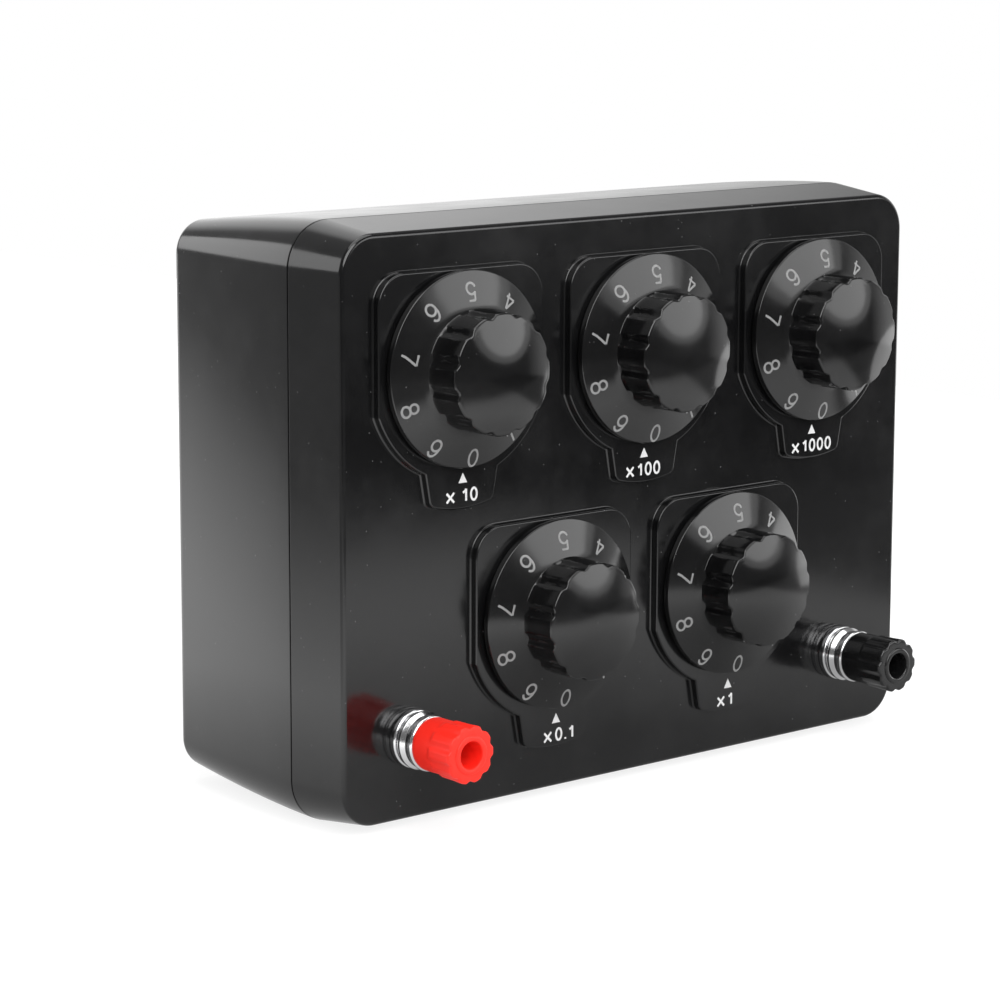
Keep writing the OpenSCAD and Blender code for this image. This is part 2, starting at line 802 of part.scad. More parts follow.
front_cover();
rear_cover();
case_screws();
bushings();
lock_washers();
panel_nuts();
wafer_screws();
hookup_wires();
terminal_studs();
terminal_bases();
terminal_washers();
solder_tags();
terminal_nuts();
for (i = [0 : len(DECADES) - 1]) {
    knob(i);
    grub_screw(i);
    spindle(i);
    wiper(i);
    clip(i);
    wafer(i);
    contacts(i);
    resistors(i);
}
for (i = [0 : len(POLES) - 1]) {
    collar(i);
    cap(i);
}
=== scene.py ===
# %% [markdown]
# # A decade resistance box
# A bench box with five numbered dials and two binding posts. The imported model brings
# every piece at its real size and place, so this script never moves one of them. What it
# adds is what the eye sees: smooth moulded covers, turned dials with printed numbers,
# chrome rings, and a finish for every piece down to the switches inside.

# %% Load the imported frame
import json
import math
import bmesh
import bpy
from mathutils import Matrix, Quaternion, Vector


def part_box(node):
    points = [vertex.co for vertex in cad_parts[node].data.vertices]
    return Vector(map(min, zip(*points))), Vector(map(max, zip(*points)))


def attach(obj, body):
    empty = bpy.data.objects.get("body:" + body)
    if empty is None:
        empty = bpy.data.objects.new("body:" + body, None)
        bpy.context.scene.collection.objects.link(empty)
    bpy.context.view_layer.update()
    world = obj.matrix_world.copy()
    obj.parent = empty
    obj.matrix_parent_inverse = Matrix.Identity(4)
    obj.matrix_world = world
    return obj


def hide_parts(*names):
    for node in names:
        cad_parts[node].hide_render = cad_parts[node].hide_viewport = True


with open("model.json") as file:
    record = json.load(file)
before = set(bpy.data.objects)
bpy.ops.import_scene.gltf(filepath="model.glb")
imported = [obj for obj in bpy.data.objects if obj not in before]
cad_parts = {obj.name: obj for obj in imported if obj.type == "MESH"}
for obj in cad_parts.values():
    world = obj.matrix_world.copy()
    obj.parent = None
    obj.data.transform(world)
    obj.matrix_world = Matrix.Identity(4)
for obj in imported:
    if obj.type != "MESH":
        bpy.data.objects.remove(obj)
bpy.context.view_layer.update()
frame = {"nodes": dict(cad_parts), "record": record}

bpy.context.scene.view_settings.view_transform = "Standard"
print("nodes in the frame:", len(frame["nodes"]))

# %% [markdown]
# ## Measures taken from the frame
# The box is easiest to model as it lies on a bench, panel up: x runs across the panel, y
# up the panel and z out of it. Each piece is made that way at the world's origin and is
# then stood up. These few places, read from the frame's own boxes, say where it goes.

# %% Places on the panel
MM = 0.001
DECADES = {"x10": "x 10", "x100": "x100", "x1000": "x1000", "x0_1": "x0.1", "x1": "x1"}
POLES = ("red", "black")


def middle(node):
    """Where a node's axis crosses the panel, as world x and z."""
    low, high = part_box(node)
    return (low.x + high.x) / 2, (low.z + high.z) / 2


case_low, case_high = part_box("rear_cover")
case_w = case_high.x - case_low.x
case_h = case_high.z - case_low.z
case_mid = (case_low.z + case_high.z) / 2
seam_y = case_low.y
back_y = case_high.y
panel_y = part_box("terminal_bases")[1].y
cover_d = seam_y - panel_y
dial_place = {name: middle(f"knob_{name}") for name in DECADES}
post_place = {name: middle(f"cap_{name}") for name in POLES}
print(f"case {case_w / MM:.1f} x {case_h / MM:.1f} mm, front cover {cover_d / MM:.1f} mm deep")

# %% [markdown]
# ## Working by hand in code
# An operator acts on whatever is selected, so the first helper selects one object and
# nothing else. The second selects faces, edges or points by a test on where they are, which
# is what the mouse does by hand. The last ones apply a modifier and stand a piece up.

# %% Helpers for edit mode
def only(obj):
    if bpy.context.mode != "OBJECT":
        bpy.ops.object.mode_set(mode="OBJECT")
    bpy.ops.object.select_all(action="DESELECT")
    obj.select_set(True)
    bpy.context.view_layer.objects.active = obj


def edit(obj):
    only(obj)
    bpy.ops.object.mode_set(mode="EDIT")
    bpy.ops.mesh.select_mode(type="VERT")
    bpy.ops.mesh.select_all(action="SELECT")


def pick(obj, kind, test):
    """In edit mode, select only the VERT, EDGE or FACE items that pass the test."""
    bpy.ops.mesh.select_mode(type=kind)
    bpy.ops.mesh.select_all(action="DESELECT")
    mesh = bmesh.from_edit_mesh(obj.data)
    items = {"VERT": mesh.verts, "EDGE": mesh.edges, "FACE": mesh.faces}[kind]
    count = 0
    for item in items:
        if test(item):
            item.select_set(True)
            count += 1
    bmesh.update_edit_mesh(obj.data)
    return count


def added(name):
    """Name the object that an add operator has just made."""
    obj = bpy.context.object
    obj.name = name
    obj.data.name = name
    return obj


def modify(obj, kind, **settings):
    only(obj)
    modifier = obj.modifiers.new(kind.lower(), kind)
    for key, value in settings.items():
        setattr(modifier, key, value)
    bpy.ops.object.modifier_apply(modifier=modifier.name)


def combine(obj, tool, operation):
    """Cut or join with another solid, which is used up."""
    modify(obj, "BOOLEAN", object=tool, operation=operation, solver="EXACT")
    bpy.data.objects.remove(tool)


def join(objects, name):
    only(objects[0])
    for obj in objects:
        obj.select_set(True)
    bpy.ops.object.join()
    return added(name)


def settle(obj):
    """Put the object's place, turn and scale into its mesh."""
    only(obj)
    bpy.ops.object.transform_apply(location=True, rotation=True, scale=True)
    return obj


def smooth(obj, angle=35):
    """Shade smooth, with flat faces kept flat beside their rounded edges."""
    only(obj)
    bpy.ops.object.shade_smooth_by_angle(angle=math.radians(angle))
    modify(obj, "WEIGHTED_NORMAL", mode="FACE_AREA", weight=50, keep_sharp=True)
    return obj


FACE_UP = math.radians(90)


def stand(obj, x, y, z, turn=FACE_UP):
    """Stand a piece up from the bench, with its own origin at this place."""
    obj.rotation_euler = (turn, 0, 0)
    obj.location = (x, y, z)
    return settle(obj)


only(frame["nodes"]["front_cover"])
bpy.ops.object.select_all(action="DESELECT")
print("helpers ready")

# %% [markdown]
# ## Turned pieces
# Knobs, caps and rings are bodies of revolution. By hand one extrudes a single point along
# half the outline and spins it about the axis. Spinning leaves a double row of points where
# the turn closes, so doubles are merged before the normals are made to face outwards.

# %% A lathe
def drawn(name, points):
    """Draw a line through points in millimetres by extruding one point; leaves edit mode on."""
    bpy.ops.object.select_all(action="DESELECT")
    bpy.ops.mesh.primitive_plane_add(size=MM)
    obj = added(name)
    edit(obj)
    bpy.ops.mesh.merge(type="CENTER")
    here = Vector((0, 0, 0))
    for index, point in enumerate(points):
        there = Vector(point) * MM
        if index == 0:
            bpy.ops.transform.translate(value=there)
        else:
            bpy.ops.mesh.extrude_region_move(TRANSFORM_OT_translate={"value": there - here})
        here = there
    bpy.ops.mesh.select_all(action="SELECT")
    bpy.ops.mesh.remove_doubles(threshold=1e-7)
    return obj


def turned(name, outline, steps):
    """Spin an outline of (radius, height) points in millimetres once round the z axis."""
    obj = drawn(name, [(radius, 0, height) for radius, height in outline])
    bpy.ops.mesh.spin(steps=steps, angle=2 * math.pi, center=(0, 0, 0), axis=(0, 0, 1))
    bpy.ops.mesh.select_all(action="SELECT")
    bpy.ops.mesh.remove_doubles(threshold=1e-6)
    bpy.ops.mesh.normals_make_consistent(inside=False)
    bpy.ops.object.mode_set(mode="OBJECT")
    return obj


def arc(centre_r, centre_z, radius, start, stop, count):
    """Points of a rounded edge, from one angle to another in degrees."""
    turns = [math.radians(start + (stop - start) * k / count) for k in range(count + 1)]
    return [(centre_r + radius * math.cos(t), centre_z + radius * math.sin(t)) for t in turns]


def flute(obj, count, half_angle, depth_at, face=None):
    """Press evenly spaced grooves into a turned piece; depth_at(radius, height) is in millimetres.

    With face(radius), points above face's own edge slide along that domed face."""
    pitch = 2 * math.pi / count
    for point in obj.data.vertices:
        radius = math.hypot(point.co.x, point.co.y)
        depth = depth_at(radius / MM, point.co.z / MM) * MM
        if depth <= 0:
            continue
        angle = math.atan2(point.co.y, point.co.x)
        away = abs((angle / pitch) % 1 - 0.5) * pitch
        if away < half_angle:
            press = depth * math.cos(math.pi / 2 * away / half_angle) ** 1.4
            point.co.x *= (radius - press) / radius
            point.co.y *= (radius - press) / radius
            if face:
                point.co.z += (face((radius - press) / MM) - face(radius / MM)) * MM


print("lathe ready")

# %% [markdown]
# ## Camera
# The photograph looks at the panel from the left and a little from above, through a long
# lens. These few numbers put the camera there; the picture is square.

# %% Camera at the photograph's viewpoint
VIEW_AZIMUTH = math.radians(-40.394)
VIEW_HEIGHT = math.radians(10.155)
VIEW_ROLL = math.radians(0.17)
VIEW_DISTANCE = 706.4 * MM
VIEW_TARGET = Vector((-26.4 * MM, seam_y, case_mid - 0.28 * MM))
SENSOR_MM = 36
LENS_MM = 119.0


def outward(azimuth, height):
    """Direction from the object: azimuth 0 is straight out of the panel, then to the right."""
    level = math.cos(height)
    return Vector((math.sin(azimuth) * level, -math.cos(azimuth) * level, math.sin(height)))


back = outward(VIEW_AZIMUTH, VIEW_HEIGHT)
bpy.ops.object.camera_add(location=VIEW_TARGET + back * VIEW_DISTANCE)
camera = added("camera")
camera.rotation_mode = "QUATERNION"
camera.rotation_quaternion = (-back).to_track_quat("-Z", "Y") @ Quaternion((0, 0, 1), VIEW_ROLL)
camera.data.sensor_width = SENSOR_MM
camera.data.lens = LENS_MM
camera.data.clip_start = 10 * MM
camera.data.clip_end = 20
bpy.context.scene.camera = camera
print("camera at", [round(v, 3) for v in camera.location])

# %% [markdown]
# ## Shader maths in Python
# Wiring shader nodes by hand in code gets long. Here a socket is wrapped in a small class,
# so that `1 - mask * 0.5` adds its own Math nodes. Every other node comes from one method:
# its type, its settings, and the values or links of its sockets.

# %% Sockets that add up
class Wire:
    def __init__(self, finish, socket):
        self.finish = finish
        self.socket = socket

    def math(self, operation, first, second):
        return self.finish.node("ShaderNodeMath", {"operation": operation}, {0: first, 1: second})

    def __add__(self, other):
        return self.math("ADD", self, other)

    def __radd__(self, other):
        return self.math("ADD", other, self)

    def __sub__(self, other):
        return self.math("SUBTRACT", self, other)

    def __rsub__(self, other):
        return self.math("SUBTRACT", other, self)

    def __mul__(self, other):
        return self.math("MULTIPLY", self, other)

    def __rmul__(self, other):
        return self.math("MULTIPLY", other, self)

    def __truediv__(self, other):
        return self.math("DIVIDE", self, other)


class Nodes:
    """A node tree that is written as expressions."""

    def __init__(self, tree):
        self.tree = tree
        tree.nodes.clear()

    def node(self, kind, settings=None, inputs=None, out=0):
        made = self.tree.nodes.new(kind)
        for key, value in (settings or {}).items():
            if key == "bands":
                self.fill_ramp(made.color_ramp, value)
            else:
                setattr(made, key, value)
        for key, value in (inputs or {}).items():
            if isinstance(value, Wire):
                self.tree.links.new(value.socket, made.inputs[key])
            else:
                made.inputs[key].default_value = value
        return Wire(self, made.outputs[out]) if made.outputs else None

    def fill_ramp(self, ramp, bands):
        """Hard bands of colour, each from its place up to the next."""
        ramp.interpolation = "CONSTANT"
        for place, colour in bands[2:]:
            ramp.elements.new(place)
        for element, (place, colour) in zip(ramp.elements, bands):
            element.position = place
            element.color = colour

    def place(self, scale=1.0, centre=(0, 0, 0)):
        """Object coordinates in metres, moved so that centre is the middle, then scaled."""
        coordinates = self.node("ShaderNodeTexCoord", out="Object")
        shift = {0: coordinates, 1: centre}
        moved = self.node("ShaderNodeVectorMath", {"operation": "SUBTRACT"}, shift)
        return self.node("ShaderNodeMapping", {}, {"Vector": moved, "Scale": (scale,) * 3})

    def noise(self, size_mm, detail=3.0, roughness=0.5, stretch=(1, 1, 1)):
        """Cloudy value about 0.5, with blots of this size."""
        scale = tuple(1 / (size_mm * MM * s) for s in stretch)
        coordinates = self.node("ShaderNodeTexCoord", out="Object")
        spread = self.node("ShaderNodeMapping", {}, {"Vector": coordinates, "Scale": scale})
        sockets = {"Vector": spread, "Scale": 1.0, "Detail": detail, "Roughness": roughness}
        return self.node("ShaderNodeTexNoise", {}, sockets)

    def specks(self, size_mm, share):
        """Sparse round dots: 1 in a dot, 0 elsewhere."""
        coordinates = self.node("ShaderNodeTexCoord", out="Object")
        sockets = {"Vector": coordinates, "Scale": 1 / (size_mm * MM), "Randomness": 1.0}
        near = self.node("ShaderNodeTexVoronoi", {"feature": "F1"}, sockets)
        return self.between(near, share, share * 0.55)

    def between(self, value, low, high, first=0.0, last=1.0):
        sockets = {"Value": value, "From Min": low, "From Max": high, "To Min": first, "To Max": last}
        return self.node("ShaderNodeMapRange", {"clamp": True}, sockets)

    def blend(self, share, first, second):
        """Mix two colours."""
        sockets = {0: share, 6: first, 7: second}
        return self.node("ShaderNodeMix", {"data_type": "RGBA"}, sockets, out=2)

    def bump(self, height, depth_mm, below=None):
        sockets = {"Height": height, "Strength": 1.0, "Distance": depth_mm * MM}
        if below is not None:
            sockets["Normal"] = below
        return self.node("ShaderNodeBump", {}, sockets)


def grey(level):
    return (level, level, level, 1)


def finish(name):
    """Start a material; what it returns takes nodes, and close_finish wires the surface."""
    material = bpy.data.materials.new(name)
    material.use_nodes = True
    return material, Nodes(material.node_tree)


def close_finish(made, nodes, inputs):
    surface = nodes.node("ShaderNodeBsdfPrincipled", {}, inputs)
    nodes.node("ShaderNodeOutputMaterial", {}, {"Surface": surface})
    return made


print("shader helpers ready")

# %% [markdown]
# ## Studio
# Black gloss shows little of its own colour: what one sees is the room in it. In the
# photograph a round soft light to the right fills the upper part of each dial, the middle
# mirrors a dark room, and the white table comes back in the lower part. The table ends a
# little way in front and to the right. Its mirrored glow holds painted light, brightest to
# the left, and a painted shadow where it darkens near the box.
# The camera sees it plain white, with only the shadow of the box.

# %% Table
TABLE_FRONT = -0.265
TABLE_RIGHT = 0.187
TABLE_OVER = 0.3
FLOOR_REACH = 3.0

bpy.ops.mesh.primitive_plane_add(size=1)
floor = added("floor")
low_x, high_x = -FLOOR_REACH, TABLE_RIGHT + TABLE_OVER
low_y, high_y = TABLE_FRONT - TABLE_OVER, FLOOR_REACH
floor.scale = (high_x - low_x, high_y - low_y, 1)
floor.location = ((low_x + high_x) / 2, (low_y + high_y) / 2, 0)
settle(floor)

floor_look, nodes = finish("white_table")
spot = nodes.place()
x = nodes.node("ShaderNodeSeparateXYZ", {}, {0: spot}, out="X")
y = nodes.node("ShaderNodeSeparateXYZ", {}, {0: spot}, out="Y")
away = nodes.node("ShaderNodeVectorMath", {"operation": "LENGTH"}, {0: spot}, out="Value")
# What the mirrored table fades along, from where to where in metres, and its two levels
# there: its ends, painted light brighter to the left, and a painted shadow near the box.
fades = {
    "painted light to the left": (x, -0.15, 0.2, 1.9, 1.0),
    "painted shadow near the box": (away, 0.06, 0.19, 0.3, 1.0),
    "end on the left": (x, -0.40, -0.17, 0.22, 1.0),
    "end in front": (y, TABLE_FRONT - 0.035, TABLE_FRONT + 0.025, 0.18, 1.0),
    "end on the right": (x, TABLE_RIGHT - 0.012, TABLE_RIGHT + 0.012, 1.0, 0.25),
}
table_ends_painted_light_and_shade = 1.0
for fade in fades.values():
    table_ends_painted_light_and_shade = table_ends_painted_light_and_shade * nodes.between(*fade)
# The glow that glossy surfaces see holds painted light to the left and a painted shadow near the box.
mirror_look_with_painted_light = nodes.node("ShaderNodeEmission", {}, {"Color": table_ends_painted_light_and_shade, "Strength": 1.0})
paper_white = nodes.between(away, 0.15, 0.5, 0.84, 1.1)
white = nodes.node("ShaderNodeEmission", {}, {"Color": paper_white, "Strength": 1.0})
shaded = nodes.node("ShaderNodeBsdfDiffuse", {}, {"Color": grey(0.25)})
camera_look = nodes.node("ShaderNodeAddShader", {}, {0: white, 1: shaded})
paper = nodes.node("ShaderNodeBsdfDiffuse", {}, {"Color": grey(0.8)})
in_mirror = nodes.node("ShaderNodeLightPath", out="Is Glossy Ray")
from_camera = nodes.node("ShaderNodeLightPath", out="Is Camera Ray")
unseen = nodes.node("ShaderNodeMixShader", {}, {0: in_mirror, 1: paper, 2: mirror_look_with_painted_light})
table = nodes.node("ShaderNodeMixShader", {}, {0: from_camera, 1: unseen, 2: camera_look})
nodes.node("ShaderNodeOutputMaterial", {}, {"Surface": table})
floor.data.materials.append(floor_look)
print("table ends", TABLE_FRONT, "m in front and", TABLE_RIGHT, "m to the right")

# %% [markdown]
# The room is dark in front, grey behind to the left and white behind to the right, where
# the top of the case mirrors it. The camera itself sees plain white.

# %% Room
ROOM_FRONT = 0.15
ROOM_BACK = 0.42
ROOM_BEHIND = 0.88
ROOM_RIGHT = 0.9
BACKDROP_WAY = (0.4, 0.917, 0)

world = bpy.data.worlds.new("studio")
bpy.context.scene.world = world
world.use_nodes = True
nodes = Nodes(world.node_tree)
towards = nodes.node("ShaderNodeTexCoord", out="Generated")
depth = nodes.node("ShaderNodeSeparateXYZ", {}, {0: towards}, out="Y")
sideways = nodes.node("ShaderNodeSeparateXYZ", {}, {0: towards}, out="X")
height = nodes.node("ShaderNodeSeparateXYZ", {}, {0: towards}, out="Z")
flatten = {0: towards, 1: (1, 1, 0)}
level_way = nodes.node("ShaderNodeVectorMath", {"operation": "MULTIPLY"}, flatten)
compass = nodes.node("ShaderNodeVectorMath", {"operation": "NORMALIZE"}, {0: level_way})
ways = {0: compass, 1: BACKDROP_WAY}
behind = nodes.node("ShaderNodeVectorMath", {"operation": "DOT_PRODUCT"}, ways, out="Value")
room = nodes.between(depth, -0.2, 0.5, ROOM_FRONT, ROOM_BACK)
room = room + nodes.between(sideways, 0.82, 0.95, 0.0, ROOM_RIGHT)
backdrop = nodes.between(behind, 0.905, 0.985, 0.0, ROOM_BEHIND)
room = room + backdrop * nodes.between(height, 0.06, 0.25, 1.0, 1.2)
camera_ray = nodes.node("ShaderNodeLightPath", out="Is Camera Ray")
level = camera_ray + room * (1 - camera_ray)
sky = nodes.node("ShaderNodeBackground", {}, {"Color": grey(1.0), "Strength": level})
nodes.node("ShaderNodeOutputWorld", {}, {"Surface": sky})
print("room ready")

# %% [markdown]
# Each lamp is an area lamp aimed at the middle of the box and set by the brightness of its
# face, because that is what a mirror-like surface shows. The key light is two ovals, one
# inside the other, which softens its edge. A low bright card stands close on the right and
# edges the dials; one behind on the left edges the case. The fill light stands high enough
# to show only on rims.

# %% Lamps
BOX_MIDDLE = Vector((0, 0, case_mid))


def soft_box(name, azimuth, height, distance, spread, brightness):
    """An oval area lamp that faces the box; spread is its half angles across and up, in degrees."""
    away = outward(math.radians(azimuth), math.radians(height))
    bpy.ops.object.light_add(type="AREA", location=BOX_MIDDLE + away * distance)
    lamp = added(name)
    lamp.rotation_mode = "QUATERNION"
    lamp.rotation_quaternion = (-away).to_track_quat("-Z", "Y")
    wide, tall = (2 * distance * math.tan(math.radians(angle)) for angle in spread)
    lamp.data.shape = "ELLIPSE"
    lamp.data.size = wide
    lamp.data.size_y = tall
    lamp.data.energy = brightness * math.pi * (math.pi / 4 * wide * tall)
    lamp.visible_camera = False
    return lamp


soft_box("key_edge", 36, 17, 0.92, (22, 17), 1.2)
soft_box("key_heart", 36, 17, 0.9, (17, 13.5), 2.0)
soft_box("top_light", 0, 82, 0.8, (30, 27), 2.4)
soft_box("back_light", -140, 18, 1.2, (27, 14), 2.3)
soft_box("side_card", 77, -7, 0.24, (16, 11), 1.9)
soft_box("front_fill", -25, 35, 1.0, (22, 22), 4.8)
print("lamps ready")

# %% [markdown]
# ## Finishes
# Gloss-moulded plastic isn't a perfect mirror. It has a faint swell from the mould, a fine
# grain, rubbed patches, hair scratches and dust. Each is one noise at its own size, and
# each changes only roughness, colour or height a little.

# %% Plastics
def moulded(name, colour, roughness, swell_mm, grain_mm, dust, shine=0.5):
    """Glossy moulded plastic; colour is linear, dust is the share of dusty specks."""
    made, nodes = finish(name)
    swell = nodes.noise(38, detail=1.0)
    grain = nodes.noise(0.35, detail=2.0)
    rubbed = nodes.between(nodes.noise(21, detail=5.0, roughness=0.65), 0.42, 0.7)
    scratch_a = nodes.noise(9, detail=2.0, stretch=(0.02, 1, 1.4))
    scratch_b = nodes.noise(7, detail=2.0, stretch=(1.3, 1, 0.02))
    scratches = nodes.between(scratch_a, 0.7, 0.78) + nodes.between(scratch_b, 0.71, 0.79)
    specks = nodes.specks(2.3, 0.075) * nodes.between(nodes.noise(4, detail=2.0), 0.45, 0.6) * dust
    pale = tuple(min(1.0, c + 0.03) for c in colour) + (1,)
    worn = nodes.blend(rubbed * 0.16, colour + (1,), pale)
    dusty = nodes.blend(specks, worn, grey(0.14))
    waves = nodes.bump(swell, swell_mm)
    surface = nodes.bump(grain + scratches * -0.6, grain_mm, waves)
    return close_finish(made, nodes, {
        "Base Color": dusty,
        "Roughness": roughness + rubbed * 0.06 + grain * 0.03 + specks * 0.3,
        "IOR": 1.5,
        "Specular IOR Level": shine,
        "Normal": surface,
    })


case_plastic = moulded("case_gloss", (0.0042, 0.0042, 0.0045), 0.11, 0.03, 0.002, 0.7)
knob_plastic = moulded("knob_gloss", (0.004, 0.004, 0.0042), 0.09, 0.012, 0.0015, 0.5)
red_plastic = moulded("red_gloss", (1.0, 0.026, 0.014), 0.38, 0.01, 0.0025, 0.0, 0.3)
black_plastic = moulded("black_gloss", (0.005, 0.005, 0.0053), 0.16, 0.01, 0.0025, 0.3)
print("plastics:", case_plastic.name, knob_plastic.name, red_plastic.name, black_plastic.name)

# %% [markdown]
# Printing ink is thin and a little uneven, so the plastic shows through in places. Metals
# get their tone from the base colour and their character from roughness: polished chrome,
# dull zinc, turned brass with fine tool lines round its axis.

# %% Ink and metals
def printed(name, level):
    made, nodes = finish(name)
    thin = nodes.between(nodes.noise(0.5, detail=4.0, roughness=0.7), 0.5, 0.75)
    tone = nodes.blend(thin * 0.35, grey(level), grey(level * 0.45))
    return close_finish(made, nodes, {"Base Color": tone, "Roughness": 0.42 + thin * 0.2})


def metal(name, colour, roughness, grain_mm=0.4, stain=0.25, tool_mm=0.0):
    """Metal with stains and grain; tool_mm is the pitch of lathe lines along y."""
    made, nodes = finish(name)
    cloud = nodes.between(nodes.noise(3.5, detail=5.0, roughness=0.6), 0.4, 0.75)
    fine = nodes.noise(grain_mm, detail=3.0)
    dull = tuple(c * 0.6 for c in colour) + (1,)
    tone = nodes.blend(cloud * stain, colour + (1,), dull)
    height = fine
    if tool_mm:
        along = nodes.node("ShaderNodeSeparateXYZ", {}, {0: nodes.place(1 / (tool_mm * MM))}, out="Y")
        lines = nodes.node("ShaderNodeMath", {"operation": "SINE"}, {0: along * (2 * math.pi)})
        height = fine * 0.3 + lines
    return close_finish(made, nodes, {
        "Base Color": tone,
        "Metallic": 1.0,
        "Roughness": roughness + cloud * 0.1,
        "Normal": nodes.bump(height, 0.002),
    })


white_ink = printed("white_ink", 0.72)
grey_ink = printed("grey_ink", 0.25)
chrome = metal("chrome_plate", (0.80, 0.80, 0.81), 0.16, grain_mm=1.5, stain=0.12)
nickel = metal("turned_nickel", (0.62, 0.60, 0.55), 0.22, tool_mm=0.25)
steel = metal("plain_steel", (0.55, 0.56, 0.57), 0.3)
black_steel = metal("blacked_steel", (0.05, 0.05, 0.055), 0.4)
brass = metal("turned_brass", (0.70, 0.50, 0.20), 0.24, tool_mm=0.2)
bronze = metal("spring_bronze", (0.62, 0.37, 0.17), 0.28)
print("metals:", chrome.name, nickel.name, steel.name, brass.name, bronze.name)

# %% [markdown]
# The pieces inside never show while the box is closed, but each still has its own look:
# brown paper laminate for the switch wafers, lacquered resistors with colour rings, and
# soft sleeve on the wires. The rings follow each resistor because they are placed by the
# angle round the dial's axis, where ten contacts stand 36 degrees apart.

# %% Looks of the inner pieces
def laminate():
    made, nodes = finish("brown_laminate")
    fibre = nodes.noise(1.2, detail=6.0, roughness=0.7, stretch=(1, 0.15, 1))
    tone = nodes.blend(fibre, (0.10, 0.035, 0.012, 1), (0.30, 0.13, 0.05, 1))
    return close_finish(made, nodes, {
        "Base Color": tone, "Roughness": 0.35 + fibre * 0.3, "Normal": nodes.bump(fibre, 0.02)})


def sleeve():
    made, nodes = finish("soft_sleeve")
    cloud = nodes.noise(4, detail=4.0)
    tone = nodes.blend(cloud, (0.42, 0.02, 0.018, 1), (0.60, 0.04, 0.03, 1))
    return close_finish(made, nodes, {
        "Base Color": tone, "Roughness": 0.4 + cloud * 0.2, "Normal": nodes.bump(cloud, 0.03)})


CONTACTS = 10
RING_W = 0.05
# Where each colour ring starts along the resistor: brown, black, red and gold.
RINGS = {
    0.30: (0.18, 0.06, 0.02, 1), 0.42: grey(0.01),
    0.54: (0.5, 0.03, 0.02, 1), 0.68: (0.55, 0.4, 0.1, 1),
}


def lacquer(name, place):
    """Resistors in a ring about this place, with colour rings across each body."""
    made, nodes = finish(f"resistor_coat_{name}")
    spot = nodes.place(1.0, (place[0], 0, place[1]))
    x = nodes.node("ShaderNodeSeparateXYZ", {}, {0: spot}, out="X")
    z = nodes.node("ShaderNodeSeparateXYZ", {}, {0: spot}, out="Z")
    angle = x.math("ARCTAN2", z, x)
    turns = (angle / (2 * math.pi) + 0.25) * CONTACTS
    along = turns.math("FRACT", turns, 0.0)
    coat = (0.24, 0.41, 0.53, 1)
    bands = [(0.0, coat)]
    for start, ring in RINGS.items():
        bands += [(start, ring), (start + RING_W, coat)]
    rings = nodes.node("ShaderNodeValToRGB", {"bands": bands}, {"Fac": along})
    cloud = nodes.noise(0.8, detail=3.0)
    return close_finish(made, nodes, {
        "Base Color": rings, "Roughness": 0.3 + cloud * 0.2, "Normal": nodes.bump(cloud, 0.02)})


finish_of = {
    "case_plastic": case_plastic, "knob_plastic": knob_plastic, "red_plastic": red_plastic,
    "black_plastic": black_plastic, "chrome": chrome, "nickel": nickel, "steel": steel,
    "black_steel": black_steel, "brass": brass, "bronze": bronze, "phenolic": laminate(),
    "wire_sleeve": sleeve(),
}


def paint(obj, look):
    obj.data.materials.clear()
    obj.data.materials.append(look)


for row in frame["record"]["subparts"]:
    node, slot_name = row["node"], row["material_slot"]
    if slot_name == "resistor_coat":
        decade = node.removeprefix("resistors_")
        paint(frame["nodes"][node], lacquer(decade, dial_place[decade]))
    else:
        paint(frame["nodes"][node], finish_of[slot_name])


def dress(obj, look, body, slot_name, *nodes):
    """Give a finished piece its look and the body it rides on, and hide the nodes it stands for."""
    paint(obj, look)
    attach(obj, body)
    if nodes:
        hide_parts(*nodes)
    print(f"{obj.name}: {len(obj.data.polygons)} faces, rides on {body}")


# %% [markdown]
# ## Covers
# Both covers start from a flat plate with rounded corners. Insetting its face while raising
# it draws the leaning side in one stroke, and because an inset keeps its distance all round,
# the corners tighten as on the real moulding. The open plate then gets its wall, and only
# after that are the outer edges rounded, so that the inner corners stay clean. The outer
# half of each mouth stops a little short of the seam, which leaves the fine dark line
# between the covers.

# %% A plate that grows into a cover
CORNER_R = 10 * MM
WALL = 2.5 * MM
CORNER_STEPS = 20
SEAM_EDGE = 0.2 * MM
SEAM_GAP = 0.3 * MM
core_x = case_w / 2 - CORNER_R
core_y = case_h / 2 - CORNER_R


def reach(point):
    """Distance from the rectangle inside the rounded corners."""
    return math.hypot(max(abs(point.x) - core_x, 0), max(abs(point.y) - core_y, 0))


